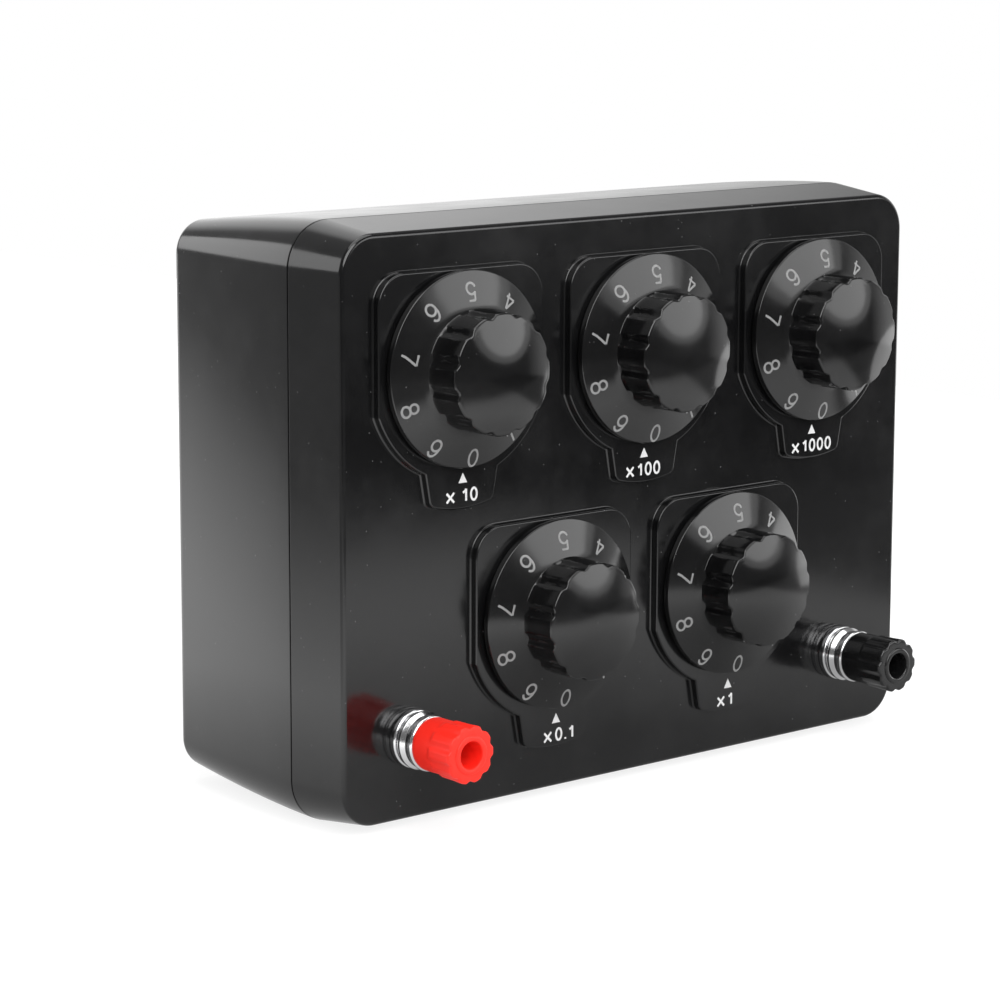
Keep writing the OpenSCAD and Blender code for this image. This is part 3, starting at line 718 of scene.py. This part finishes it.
def cover(name, levels, edge_r, edge_steps):
    """Raise a rounded plate through (inset, height) levels in metres and give it a wall."""
    bpy.ops.object.select_all(action="DESELECT")
    bpy.ops.mesh.primitive_plane_add(size=1)
    obj = added(name)
    obj.scale = (case_w, case_h, 1)
    settle(obj)
    edit(obj)
    bpy.ops.mesh.bevel(affect="VERTICES", offset=CORNER_R, segments=CORNER_STEPS, profile=0.5)
    bpy.ops.mesh.select_mode(type="FACE")
    bpy.ops.mesh.select_all(action="SELECT")
    inset, height = 0, 0
    for next_inset, next_height in levels:
        bpy.ops.mesh.inset(thickness=next_inset - inset, depth=next_height - height, use_boundary=True)
        inset, height = next_inset, next_height
    modify(obj, "SOLIDIFY", thickness=WALL, offset=-1, use_even_offset=True)
    edit(obj)
    top = height - 1e-6
    pick(obj, "EDGE", lambda e: all(v.co.z > top for v in e.verts))
    bpy.ops.mesh.bevel(affect="EDGES", offset=edge_r, segments=edge_steps, profile=0.5)
    seam_reach = CORNER_R - 1e-6
    pick(obj, "EDGE", lambda e: all(v.co.z < 1e-6 and reach(v.co) > seam_reach for v in e.verts))
    bpy.ops.mesh.bevel(affect="EDGES", offset=SEAM_EDGE, segments=2, profile=0.5)
    outer_half = CORNER_R - WALL / 2
    pick(obj, "VERT", lambda v: v.co.z < SEAM_EDGE + 1e-6 and reach(v.co) > outer_half)
    bpy.ops.transform.translate(value=(0, 0, SEAM_GAP / 2))
    only(obj)
    return obj


def drills(places, radius, low, high, steps=48):
    """One round rod at each (x, y) place, joined, to cut or fill with."""
    rods = []
    for x, y in places:
        bpy.ops.object.select_all(action="DESELECT")
        middle_z = (low + high) / 2
        bpy.ops.mesh.primitive_cylinder_add(
            vertices=steps, radius=radius, depth=high - low, location=(x, y, middle_z))
        rods.append(settle(added("rod")))
    return join(rods, "rods")


print("cover helpers ready")

# %% [markdown]
# The front cover leans in a little from the seam to the panel. The bushings and studs pass
# through drilled holes.

# %% Front cover
FRONT_DRAFT = 1.9 * MM
FRONT_EDGE = 0.9 * MM
BUSHING_HOLE = 5.05 * MM
STUD_HOLE = 3.05 * MM

front = cover("front_cover_shell", [(FRONT_DRAFT, cover_d)], FRONT_EDGE, 5)
dial_holes = [(x, z - case_mid) for x, z in dial_place.values()]
post_holes = [(x, z - case_mid) for x, z in post_place.values()]
combine(front, drills(dial_holes, BUSHING_HOLE, cover_d - 2 * WALL, cover_d + WALL), "DIFFERENCE")
combine(front, drills(post_holes, STUD_HOLE, cover_d - 2 * WALL, cover_d + WALL), "DIFFERENCE")
smooth(front)
stand(front, 0, seam_y, case_mid)
dress(front, case_plastic, "case", "case_plastic", "front_cover")

# %% [markdown]
# The rear cover curves in towards the back, slowly at first. It has four pillars for the
# case screws, each with a deep hole for the head, and they are what one sees from behind.

# %% Rear cover
REAR_DRAFT = 3.0 * MM
REAR_EDGE = 2.6 * MM
SIDE_CURVE = 1.6
SIDE_LEVELS = 10
SCREW_INSET = 9 * MM
SCREW_SEAT = 3.5 * MM
HEAD_HOLE = 3.4 * MM
SHANK_HOLE = 1.65 * MM
PILLAR_R = 4.6 * MM

rear_d = back_y - seam_y
curve_d = rear_d - REAR_EDGE
levels = [
    (REAR_DRAFT * (k / SIDE_LEVELS) ** SIDE_CURVE, curve_d * k / SIDE_LEVELS)
    for k in range(1, SIDE_LEVELS + 1)
]
levels.append((REAR_DRAFT + 0.1 * MM, rear_d))
rear = cover("rear_cover_shell", levels, REAR_EDGE, 8)
screw_x = case_w / 2 - SCREW_INSET
screw_y = case_h / 2 - SCREW_INSET
screw_places = [(sx * screw_x, sy * screw_y) for sx in (-1, 1) for sy in (-1, 1)]
combine(rear, drills(screw_places, PILLAR_R, 0.02 * MM, rear_d - WALL / 2), "UNION")
combine(rear, drills(screw_places, HEAD_HOLE, SCREW_SEAT, rear_d + WALL), "DIFFERENCE")
combine(rear, drills(screw_places, SHANK_HOLE, -WALL, SCREW_SEAT + WALL), "DIFFERENCE")
smooth(rear)
stand(rear, 0, seam_y, case_mid, -FACE_UP)
dress(rear, case_plastic, "case", "case_plastic", "rear_cover")

# %% [markdown]
# ## Bezel plates
# Round each dial the panel carries a raised plate: straight top and sides, a round bottom and
# a tab for the label. Its outline is drawn once, half of it from points and the other half
# mirrored, and filled. The face is then raised in steps: a small fillet at the foot, the
# wall, and a rounded rim. Foot and rim draw the two thin light lines round every plate.

# %% One bezel plate
BEZEL_W = 43.4
BEZEL_R = 23.2
BEZEL_TOP = 20.4
BEZEL_CORNER = 7.0
BEZEL_H = 1.8 * MM
BEZEL_SUNK = 0.2 * MM
BEZEL_EDGE = 0.35 * MM
BEZEL_FOOT = 0.35
TAB_R = 29.1
TAB_W = 19.1
TAB_END_W = 16.6
TAB_CORNER = 1.2
ROUND_STEPS = 40
END_STEPS = 20
CORNER_ROOM = 4
# Steps of the hollow foot, as shares of its size: inwards and up.
FOOT_STEPS = ((0.6, 0.2), (0.3, 0.4), (0.1, 0.4))


def bezel_half():
    """Right half of the outline from the top down, with sharp corners and room for the foot."""
    half = BEZEL_W / 2 + BEZEL_FOOT
    round_r = BEZEL_R + BEZEL_FOOT
    end_r = TAB_R + BEZEL_FOOT
    tab_x = TAB_W / 2 + BEZEL_FOOT
    end_x = TAB_END_W / 2 + BEZEL_FOOT
    start = math.degrees(math.asin(half / round_r))
    stop = math.degrees(math.asin(tab_x / round_r))
    end = math.degrees(math.asin(end_x / end_r))
    points = [(half, BEZEL_TOP + BEZEL_FOOT)]
    for k in range(ROUND_STEPS + 1):
        turn = math.radians(start + (stop - start) * k / ROUND_STEPS)
        points.append((round_r * math.sin(turn), -round_r * math.cos(turn)))
    for k in [0] + list(range(CORNER_ROOM, END_STEPS)):
        turn = math.radians(end * (1 - k / END_STEPS))
        points.append((end_r * math.sin(turn), -end_r * math.cos(turn)))
    return points


def bezel_plate(name):
    right = bezel_half()
    left = [(-x, y) for x, y in reversed(right)]
    loop = right + [(0, -TAB_R - BEZEL_FOOT)] + left + right[:1]
    plate = drawn(name, [(x, y, -BEZEL_SUNK / MM) for x, y in loop])
    bpy.ops.mesh.edge_face_add()
    top_line = (BEZEL_TOP - 1) * MM
    pick(plate, "VERT", lambda v: v.co.y > top_line)
    bpy.ops.mesh.bevel(affect="VERTICES", offset=BEZEL_CORNER * MM, segments=14, profile=0.5)
    end_x, end_y = right[ROUND_STEPS + 2]
    tab_end = [Vector((side * end_x, end_y)) * MM for side in (-1, 1)]
    pick(plate, "VERT", lambda v: any((v.co.xy - spot).length < 1e-5 for spot in tab_end))
    bpy.ops.mesh.bevel(affect="VERTICES", offset=TAB_CORNER * MM, segments=6, profile=0.5)
    pick(plate, "FACE", lambda face: face.normal.z < 0)
    bpy.ops.mesh.flip_normals()
    bpy.ops.mesh.select_all(action="SELECT")
    bpy.ops.mesh.extrude_region_move(TRANSFORM_OT_translate={"value": (0, 0, BEZEL_SUNK)})
    foot = BEZEL_FOOT * MM
    for along, up in FOOT_STEPS:
        bpy.ops.mesh.inset(thickness=along * foot, depth=up * foot)
    bpy.ops.mesh.extrude_region_move(TRANSFORM_OT_translate={"value": (0, 0, BEZEL_H - foot)})
    bpy.ops.mesh.select_all(action="SELECT")
    bpy.ops.mesh.normals_make_consistent(inside=False)
    pick(plate, "EDGE", lambda e: all(v.co.z > BEZEL_H - 1e-6 for v in e.verts)
         and e.calc_face_angle(0) > math.radians(60))
    bpy.ops.mesh.bevel(affect="EDGES", offset=BEZEL_EDGE, segments=4, profile=0.5)
    return smooth(plate)


def copy_of(obj, name):
    """A second piece of the same shape, with a mesh of its own."""
    twin = obj.copy()
    twin.data = obj.data.copy()
    twin.name = name
    twin.data.name = name
    bpy.context.scene.collection.objects.link(twin)
    return twin


model_plate = bezel_plate("bezel_model")
for decade, (x, z) in dial_place.items():
    plate = copy_of(model_plate, f"bezel_{decade}")
    stand(plate, x, panel_y, z)
    dress(plate, case_plastic, "case", "case_plastic")
bpy.data.objects.remove(model_plate)

# %% [markdown]
# ## Lettering
# The figures are plain sans-serif strokes of one width. Each is kept as a few paths in a box
# one unit wide and high: straight runs and parts of ovals. A path is drawn as a line, made
# into a round tube and pressed flat to the thickness of a coat of ink.

# %% Figures as strokes
INK = 0.03
SPACE = " "


def bow(x, y, across, up, start, stop, count=14):
    """Points on part of an oval, between two angles in degrees."""
    turns = [math.radians(start + (stop - start) * k / count) for k in range(count + 1)]
    return [(x + across * math.cos(t), y + up * math.sin(t)) for t in turns]


SIX = bow(0.52, 0.53, 0.5, 0.47, 38, 180) + bow(0.5, 0.32, 0.48, 0.32, 180, 540, 28)
STROKES = {
    "0": [bow(0.5, 0.5, 0.5, 0.5, 90, 450, 32)],
    "1": [[(0.72, 0), (0.72, 1)], [(0.72, 0.98), (0.5, 0.84), (0.05, 0.7)]],
    "2": [bow(0.5, 0.7, 0.48, 0.3, 165, -30) + [(0.05, 0.03)], [(0, 0), (1, 0)]],
    "3": [bow(0.46, 0.755, 0.43, 0.245, 160, -90), bow(0.46, 0.26, 0.52, 0.26, 90, -165)],
    "4": [[(0.74, 0), (0.74, 1)], [(0.72, 0.98), (0.02, 0.27)], [(0, 0.25), (1, 0.25)]],
    "5": [[(0.93, 1), (0.22, 1)], [(0.24, 1), (0.1, 0.5)], bow(0.48, 0.325, 0.5, 0.325, 145, -165)],
    "6": [SIX],
    "7": [[(0, 1), (1, 1)], [(0.98, 0.98), (0.7, 0.62), (0.48, 0.3), (0.36, 0)]],
    "8": [bow(0.5, 0.755, 0.43, 0.245, 90, 450, 24), bow(0.5, 0.26, 0.5, 0.26, 90, 450, 24)],
    "9": [[(1 - x, 1 - y) for x, y in SIX]],
    "x": [[(0, 0), (0.84, 0.8)], [(0, 0.8), (0.84, 0)]],
    ".": [[(0.5, -0.04), (0.5, 0.1)]],
}
WIDTH_OF = {"1": 0.85, ".": 0.4, SPACE: 0.25, "x": 1.4}


def tube(path, thick):
    """A flattened tube of this thickness along a path of (x, y) points in millimetres."""
    obj = drawn("stroke", [(x, y, 0) for x, y in path])
    only(obj)
    bpy.ops.object.convert(target="CURVE")
    obj = bpy.context.object
    obj.data.bevel_depth = thick / 2 * MM
    obj.data.bevel_resolution = 2
    obj.data.use_fill_caps = True
    bpy.ops.object.convert(target="MESH")
    obj = bpy.context.object
    obj.scale = (1, 1, 2 * INK / thick)
    return settle(obj)


def lettering(name, words, wide, high, thick, gap):
    """Printed words in millimetres, centred on the origin and lying flat on z = 0."""
    tubes = []
    pen = 0
    for sign in words:
        box_w = wide * WIDTH_OF.get(sign, 1.0)
        left = pen + thick / 2
        for path in STROKES.get(sign, []):
            placed = [(left + x * (box_w - thick), (y - 0.5) * (high - thick)) for x, y in path]
            tubes.append(tube(placed, thick))
        pen += box_w + gap
    obj = join(tubes, name)
    obj.location = (-(pen - gap) / 2 * MM, 0, 0)
    settle(obj)
    edit(obj)
    bpy.ops.mesh.normals_make_consistent(inside=False)
    only(obj)
    return obj


print("figures:", " ".join(sorted(STROKES)))

# %% [markdown]
# A label stands on the tab of each bezel, with a small pointer above it: a three-sided disc.
# The print is never quite in the middle of its tab, and each tab is off in its own way.

# %% Labels and pointers
LABEL_H = 3.0
LABEL_W = 2.05
LABEL_STROKE = 0.51
LABEL_GAP = 0.45
LABEL_Y = -26.25
POINTER_H = 2.1
POINTER_W = 2.3
POINTER_Y = -22.6
# Sideways place of the pointer, of the words, and their drop, in millimetres.
PRINT_OFF = {"x10": (0.1, -0.15, 0), "x100": (-0.4, -0.6, 0), "x1000": (-0.2, -0.2, 0),
             "x0_1": (0.4, 1.3, 0.4), "x1": (0.25, -0.5, 0.5)}


def pointer():
    bpy.ops.object.select_all(action="DESELECT")
    bpy.ops.mesh.primitive_cylinder_add(vertices=3, radius=MM, depth=2 * INK * MM)
    obj = added("pointer")
    obj.scale = (POINTER_W / math.sqrt(3), POINTER_H / 1.5, 1)
    obj.location = (0, (POINTER_Y - POINTER_H / 6) * MM, 0)
    return settle(obj)


for decade, words in DECADES.items():
    label = lettering("words", words, LABEL_W, LABEL_H, LABEL_STROKE, LABEL_GAP)
    pointer_x, words_x, drop = PRINT_OFF[decade]
    label.location = (words_x * MM, (LABEL_Y - drop) * MM, 0)
    settle(label)
    mark = pointer()
    mark.location = (pointer_x * MM, -drop * MM, 0)
    label = join([label, settle(mark)], f"label_{decade}")
    label.location = (0, 0, BEZEL_H)
    settle(label)
    x, z = dial_place[decade]
    stand(label, x, panel_y, z)
    dress(label, white_ink, "case", "case_plastic")

# %% [markdown]
# ## Dials
# A dial is one moulding: a thin sloping skirt for the numbers and a fluted grip with a
# gently domed face. It is turned in one go, hollow below, and the twelve flutes are pressed
# in afterwards by moving points towards the axis: fully on the grip's side, and less and
# less over the edge of the face, so that the edge comes out scalloped.

# %% One knob
knob_low, knob_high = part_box("knob_x10")
SKIRT_R = (knob_high.x - knob_low.x) / 2 / MM
SKIRT_Z = (panel_y - knob_high.y) / MM
KNOB_TOP = (panel_y - knob_low.y) / MM
RIM_H = 1.5
SKIRT_RISE = 2.4
SKIRT_WALL = 1.5
GRIP_R = 12.5
DOME_RISE = 2.0
DOME_POWER = 2.0
FACE_EDGE = 0.5
RIM_EDGE = 0.3
HUB_Z = 5.1
HUB_R = 9.0
BORE_R = 3.05
BORE_TOP = 13.5
KNOB_STEPS = 288
FLUTES = 12
FLUTE_DEPTH = 0.62
FLUTE_HALF = math.radians(7)
FLUTE_FADE_R = 8.0
CONE_RINGS = (18.0, 16.0, 14.0, GRIP_R + 0.12)
FOOT_H = 0.1
SIDE_STEPS = 6
FACE_RINGS = (11.8, 11.4, 11, 10.5, 10, 9.5, 9, 8.5, 8, 7, 6, 5, 4, 3, 2, 1)
GRUB_Z_OVER_SKIRT = 3.6
GRUB_HOLE = 1.55

rim_z = SKIRT_Z + RIM_H
skirt_top = rim_z + SKIRT_RISE
grip_top = KNOB_TOP - DOME_RISE


def cone_z(radius):
    """Height of the numbered slope at a radius."""
    return rim_z + (SKIRT_R - radius) / (SKIRT_R - GRIP_R) * SKIRT_RISE


def dome_z(radius):
    """Height of the face at a radius: nearly level in the middle, falling away to the edge."""
    return KNOB_TOP - DOME_RISE * (radius / GRIP_R) ** DOME_POWER


def knob_outline():
    inside = [(0, BORE_TOP), (BORE_R, BORE_TOP), (BORE_R, HUB_Z), (HUB_R, HUB_Z)]
    under = [(SKIRT_R - SKIRT_WALL, SKIRT_Z + 0.2), (SKIRT_R - SKIRT_WALL, SKIRT_Z)]
    rim_low = arc(SKIRT_R - RIM_EDGE, SKIRT_Z + RIM_EDGE, RIM_EDGE, -90, 0, 3)
    slope = math.degrees(math.atan2(SKIRT_R - GRIP_R, SKIRT_RISE))
    rim_r = SKIRT_R - RIM_EDGE
    rim_high = arc(rim_r, cone_z(rim_r) - RIM_EDGE * 1.05, RIM_EDGE, 0, slope, 3)
    cone = [(r, cone_z(r)) for r in CONE_RINGS]
    side_z = skirt_top + FOOT_H
    foot = [(GRIP_R + 0.03, cone_z(GRIP_R) + 0.02), (GRIP_R, side_z)]
    side_h = grip_top - FACE_EDGE - side_z
    side = [(GRIP_R, side_z + side_h * k / SIDE_STEPS) for k in range(1, SIDE_STEPS + 1)]
    edge_z = dome_z(GRIP_R - FACE_EDGE) - FACE_EDGE
    fall = DOME_RISE * DOME_POWER / GRIP_R * ((GRIP_R - FACE_EDGE) / GRIP_R) ** (DOME_POWER - 1)
    lean = math.degrees(math.atan(fall))
    edge = arc(GRIP_R - FACE_EDGE, edge_z, FACE_EDGE, 0, 90 - lean, 6)
    side = [point for point in side if point[1] < edge_z - 0.05]
    face = [(r, dome_z(r)) for r in FACE_RINGS]
    return inside + under + rim_low + rim_high + cone + foot + side + edge + face + [(0, KNOB_TOP)]


def knob_flute(radius, height):
    """Depth of the flutes: full on the side and at the edge of the face, then fading out."""
    if height < skirt_top + 0.05:
        return 0
    share = (radius - FLUTE_FADE_R) / (GRIP_R - FACE_EDGE - FLUTE_FADE_R)
    return FLUTE_DEPTH * min(1, max(0, share))


knob = turned("knob_model", knob_outline(), KNOB_STEPS)
flute(knob, FLUTES, FLUTE_HALF, knob_flute, dome_z)
bpy.ops.object.select_all(action="DESELECT")
bpy.ops.mesh.primitive_cylinder_add(
    vertices=32, radius=GRUB_HOLE * MM, depth=2 * GRIP_R * MM,
    location=((GRIP_R + BORE_R) * MM, 0, (skirt_top + GRUB_Z_OVER_SKIRT) * MM),
    rotation=(0, FACE_UP, 0))
combine(knob, settle(added("grub_drill")), "DIFFERENCE")
smooth(knob, 50)
for decade, (x, z) in dial_place.items():
    twin = copy_of(knob, f"dial_knob_{decade}")
    stand(twin, x, panel_y, z)
    dress(twin, knob_plastic, f"dial_{decade}", "knob_plastic", f"knob_{decade}")
bpy.data.objects.remove(knob)

# %% [markdown]
# The numbers stand on the slope of the skirt with their heads to the middle, 0 at the
# pointer and rising as the dial is turned to the right. A flat figure is wrapped onto the
# cone by its points: along the figure becomes along the slope. The print sits about a
# millimetre towards the 0 and is turned a degree or two, as on the real dials.

# %% Numbers on the skirt
FIGURE_RING = 17.1
FIGURE_H = 4.0
FIGURE_W = 2.75
FIGURE_STROKE = 0.49
PRINT_SHIFT = 1.1
PRINT_TURN = {"x10": 1.8, "x100": 1.0, "x1000": 1.4, "x0_1": 2.4, "x1": 1.9}


def numeral(figure):
    """One figure, wrapped onto the cone where it belongs."""
    obj = lettering("figure", str(figure), FIGURE_W, FIGURE_H, FIGURE_STROKE, 0)
    turn = -2 * math.pi * ((10 - figure) % 10) / 10
    for point in obj.data.vertices:
        x, y = point.co.x / MM, -FIGURE_RING + point.co.y / MM
        u = x * math.cos(turn) - y * math.sin(turn)
        v = x * math.sin(turn) + y * math.cos(turn) - PRINT_SHIFT
        rise = cone_z(math.hypot(u, v)) + point.co.z / MM
        point.co = (u * MM, v * MM, rise * MM)
    return obj


numbers = join([numeral(figure) for figure in range(10)], "numbers_model")
for decade, (x, z) in dial_place.items():
    twin = copy_of(numbers, f"numbers_{decade}")
    twin.rotation_euler.z = math.radians(PRINT_TURN[decade])
    settle(twin)
    stand(twin, x, panel_y, z)
    dress(twin, grey_ink, f"dial_{decade}", "knob_plastic")
bpy.data.objects.remove(numbers)

# %% [markdown]
# ## Binding posts
# Each post has a chrome base ring with a narrow step, a chrome collar that clamps the wire,
# and a plastic cap that screws down on the stud. Rings and caps are turned as closed loops,
# so their outline ends where it began. Real turned rings have broken edges, and those small
# roundings are what catches the light.

# %% Chrome rings
FLANGE_R = 6.2
FLANGE_H = 1.6
FLANGE_ROUND = 0.5
GROOVE_TOP = 1.75
RING_R = 5.95
BASE_H = 2.4
COLLAR_R = 6.1
COLLAR_BACK = 0.9
COLLAR_BEVEL = 0.95
WAIST_R = 5.5
RIM_R = 5.9
COLLAR_RIM_H = 1.3
BEAD_R = 0.6
COLLAR_H = 4.2
SEAT_R = 5.25
SEAT_DEPTH = 0.6
STUD_BORE = 3.05
RING_STEPS = 128
EDGE = 0.25

base_outline = (
    [(STUD_BORE, 0), (FLANGE_R - 0.1, 0), (FLANGE_R, 0.1)]
    + arc(FLANGE_R - FLANGE_ROUND, FLANGE_H - FLANGE_ROUND, FLANGE_ROUND, 0, 90, 8)
    + [(FLANGE_R - FLANGE_ROUND, GROOVE_TOP)]
    + arc(RING_R - EDGE, GROOVE_TOP + EDGE, EDGE, -90, 0, 4)
    + arc(RING_R - EDGE, BASE_H - EDGE, EDGE, 0, 90, 4)
    + [(STUD_BORE, BASE_H), (STUD_BORE, 0)]
)
collar_top = BASE_H + COLLAR_H
bevel_z = BASE_H + COLLAR_BACK
bead_z = collar_top - COLLAR_RIM_H / 2
collar_outline = (
    [(STUD_BORE, BASE_H)]
    + arc(COLLAR_R - EDGE, BASE_H + EDGE, EDGE, -90, 0, 4)
    + arc(COLLAR_R - EDGE, bevel_z - EDGE, EDGE, 0, 58, 4)
    + arc(WAIST_R + EDGE, bevel_z + COLLAR_BEVEL, EDGE, 238, 180, 3)
    + [(WAIST_R, collar_top - COLLAR_RIM_H)]
    + arc(RIM_R - BEAD_R, bead_z, BEAD_R, -50, 90, 9)
    + [(SEAT_R, bead_z + BEAD_R), (SEAT_R, collar_top - SEAT_DEPTH)]
    + [(STUD_BORE, collar_top - SEAT_DEPTH), (STUD_BORE, BASE_H)]
)
rings = []
for pole, (x, z) in post_place.items():
    base = smooth(turned(f"base_ring_{pole}", base_outline, RING_STEPS), 50)
    stand(base, x, panel_y, z)
    rings.append(base)
    collar = smooth(turned(f"clamp_collar_{pole}", collar_outline, RING_STEPS), 50)
    stand(collar, x, panel_y, z)
    dress(collar, chrome, f"post_collar_{pole}", "chrome", f"collar_{pole}")
bases = join(rings, "base_rings")
dress(bases, chrome, "case", "chrome", "terminal_bases")

# %% [markdown]
# The cap is smooth where it leaves the collar, and covers its rim; only a narrower tenon
# sits in it. Ten rounded ribs rise short of half way up and run to the end, which is flat
# with a raised lip round the hole for a plug. The valleys between the ribs simply carry on
# the line of the smooth part.

# %% Caps
CAP_Z = collar_top - SEAT_DEPTH
CAP_TOP = (panel_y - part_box("cap_red")[0].y) / MM
LIP_H = 0.35
CAP_FACE = CAP_TOP - LIP_H
TENON_R = 5.1
NECK_R = 5.6
NECK_EDGE = 0.15
SHOULDER_H = 1.0
# Shares of the shoulder's height, and how far it stands out from the neck there.
SHOULDER = ((1.2, 0.32), (1.0, 0.25), (0.75, 0.18), (0.5, 0.1), (0.25, 0.03), (0.0, 0.01))
# The ribs taper a little: distance below the end, and what is lost there.
RIB_TAPER = ((1.6, 0.05), (3.2, 0.12))
SMOOTH_SHARE = 0.41
LOBE_R = (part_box("cap_red")[1].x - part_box("cap_red")[0].x) / 2 / MM
FLARE_Z = CAP_Z + (CAP_FACE - CAP_Z) * SMOOTH_SHARE
PLUG_HOLE = 2.85
LIP_R = 4.1
CAP_BORE_TOP = 12.7
CAP_RIBS = 10
CAP_STEPS = 240
RIB_END_H = 0.52
END_EDGE = 0.5
END_BAND = 1.1
VALLEY_HALF = math.radians(11.5)

lip_mid = (PLUG_HOLE + LIP_R) / 2
lip_half = (LIP_R - PLUG_HOLE) / 2
lip = [(lip_mid - lip_half * math.cos(t), CAP_FACE + (CAP_TOP - CAP_FACE) * math.sin(t))
       for t in [math.pi * k / 8 for k in range(9)]]
rib_h = CAP_FACE - FLARE_Z - END_EDGE
cap_outline = (
    [(STUD_BORE, CAP_Z), (STUD_BORE, CAP_BORE_TOP)]
    + [(PLUG_HOLE, CAP_BORE_TOP), (PLUG_HOLE, CAP_FACE - 1)]
    + lip
    + [(LIP_R + 0.3, CAP_FACE), (LOBE_R - 1.2, CAP_FACE)]
    + arc(LOBE_R - END_EDGE, CAP_FACE - END_EDGE, END_EDGE, 90, 0, 5)
    + [(LOBE_R - lost, CAP_FACE - below) for below, lost in RIB_TAPER]
    + [(NECK_R + out, FLARE_Z + share * SHOULDER_H) for share, out in SHOULDER]
    + [(NECK_R, FLARE_Z - 0.7), (NECK_R, collar_top + 1)]
    + arc(NECK_R - NECK_EDGE, collar_top + NECK_EDGE, NECK_EDGE, 0, -90, 3)
    + [(TENON_R, collar_top), (TENON_R, CAP_Z), (STUD_BORE, CAP_Z)]
)


def cap_valley(radius, height):
    """Depth down to the valley's line; the flat end keeps its middle."""
    if height < FLARE_Z or radius < LOBE_R - END_BAND:
        return 0
    if height >= CAP_FACE - END_EDGE:
        return RIB_END_H
    line = NECK_R + (LOBE_R - RIB_END_H - NECK_R) * (height - FLARE_Z) / rib_h
    return min(RIB_END_H, max(0, radius - line))


cap = turned("cap_model", cap_outline, CAP_STEPS)
flute(cap, CAP_RIBS, VALLEY_HALF, cap_valley)
smooth(cap, 50)
for pole, (x, z) in post_place.items():
    twin = copy_of(cap, f"screw_cap_{pole}")
    stand(twin, x, panel_y, z)
    dress(twin, finish_of[f"{pole}_plastic"], f"post_cap_{pole}", f"{pole}_plastic", f"cap_{pole}")
bpy.data.objects.remove(cap)

# %% End with nothing selected
only(camera)
bpy.ops.object.select_all(action="DESELECT")
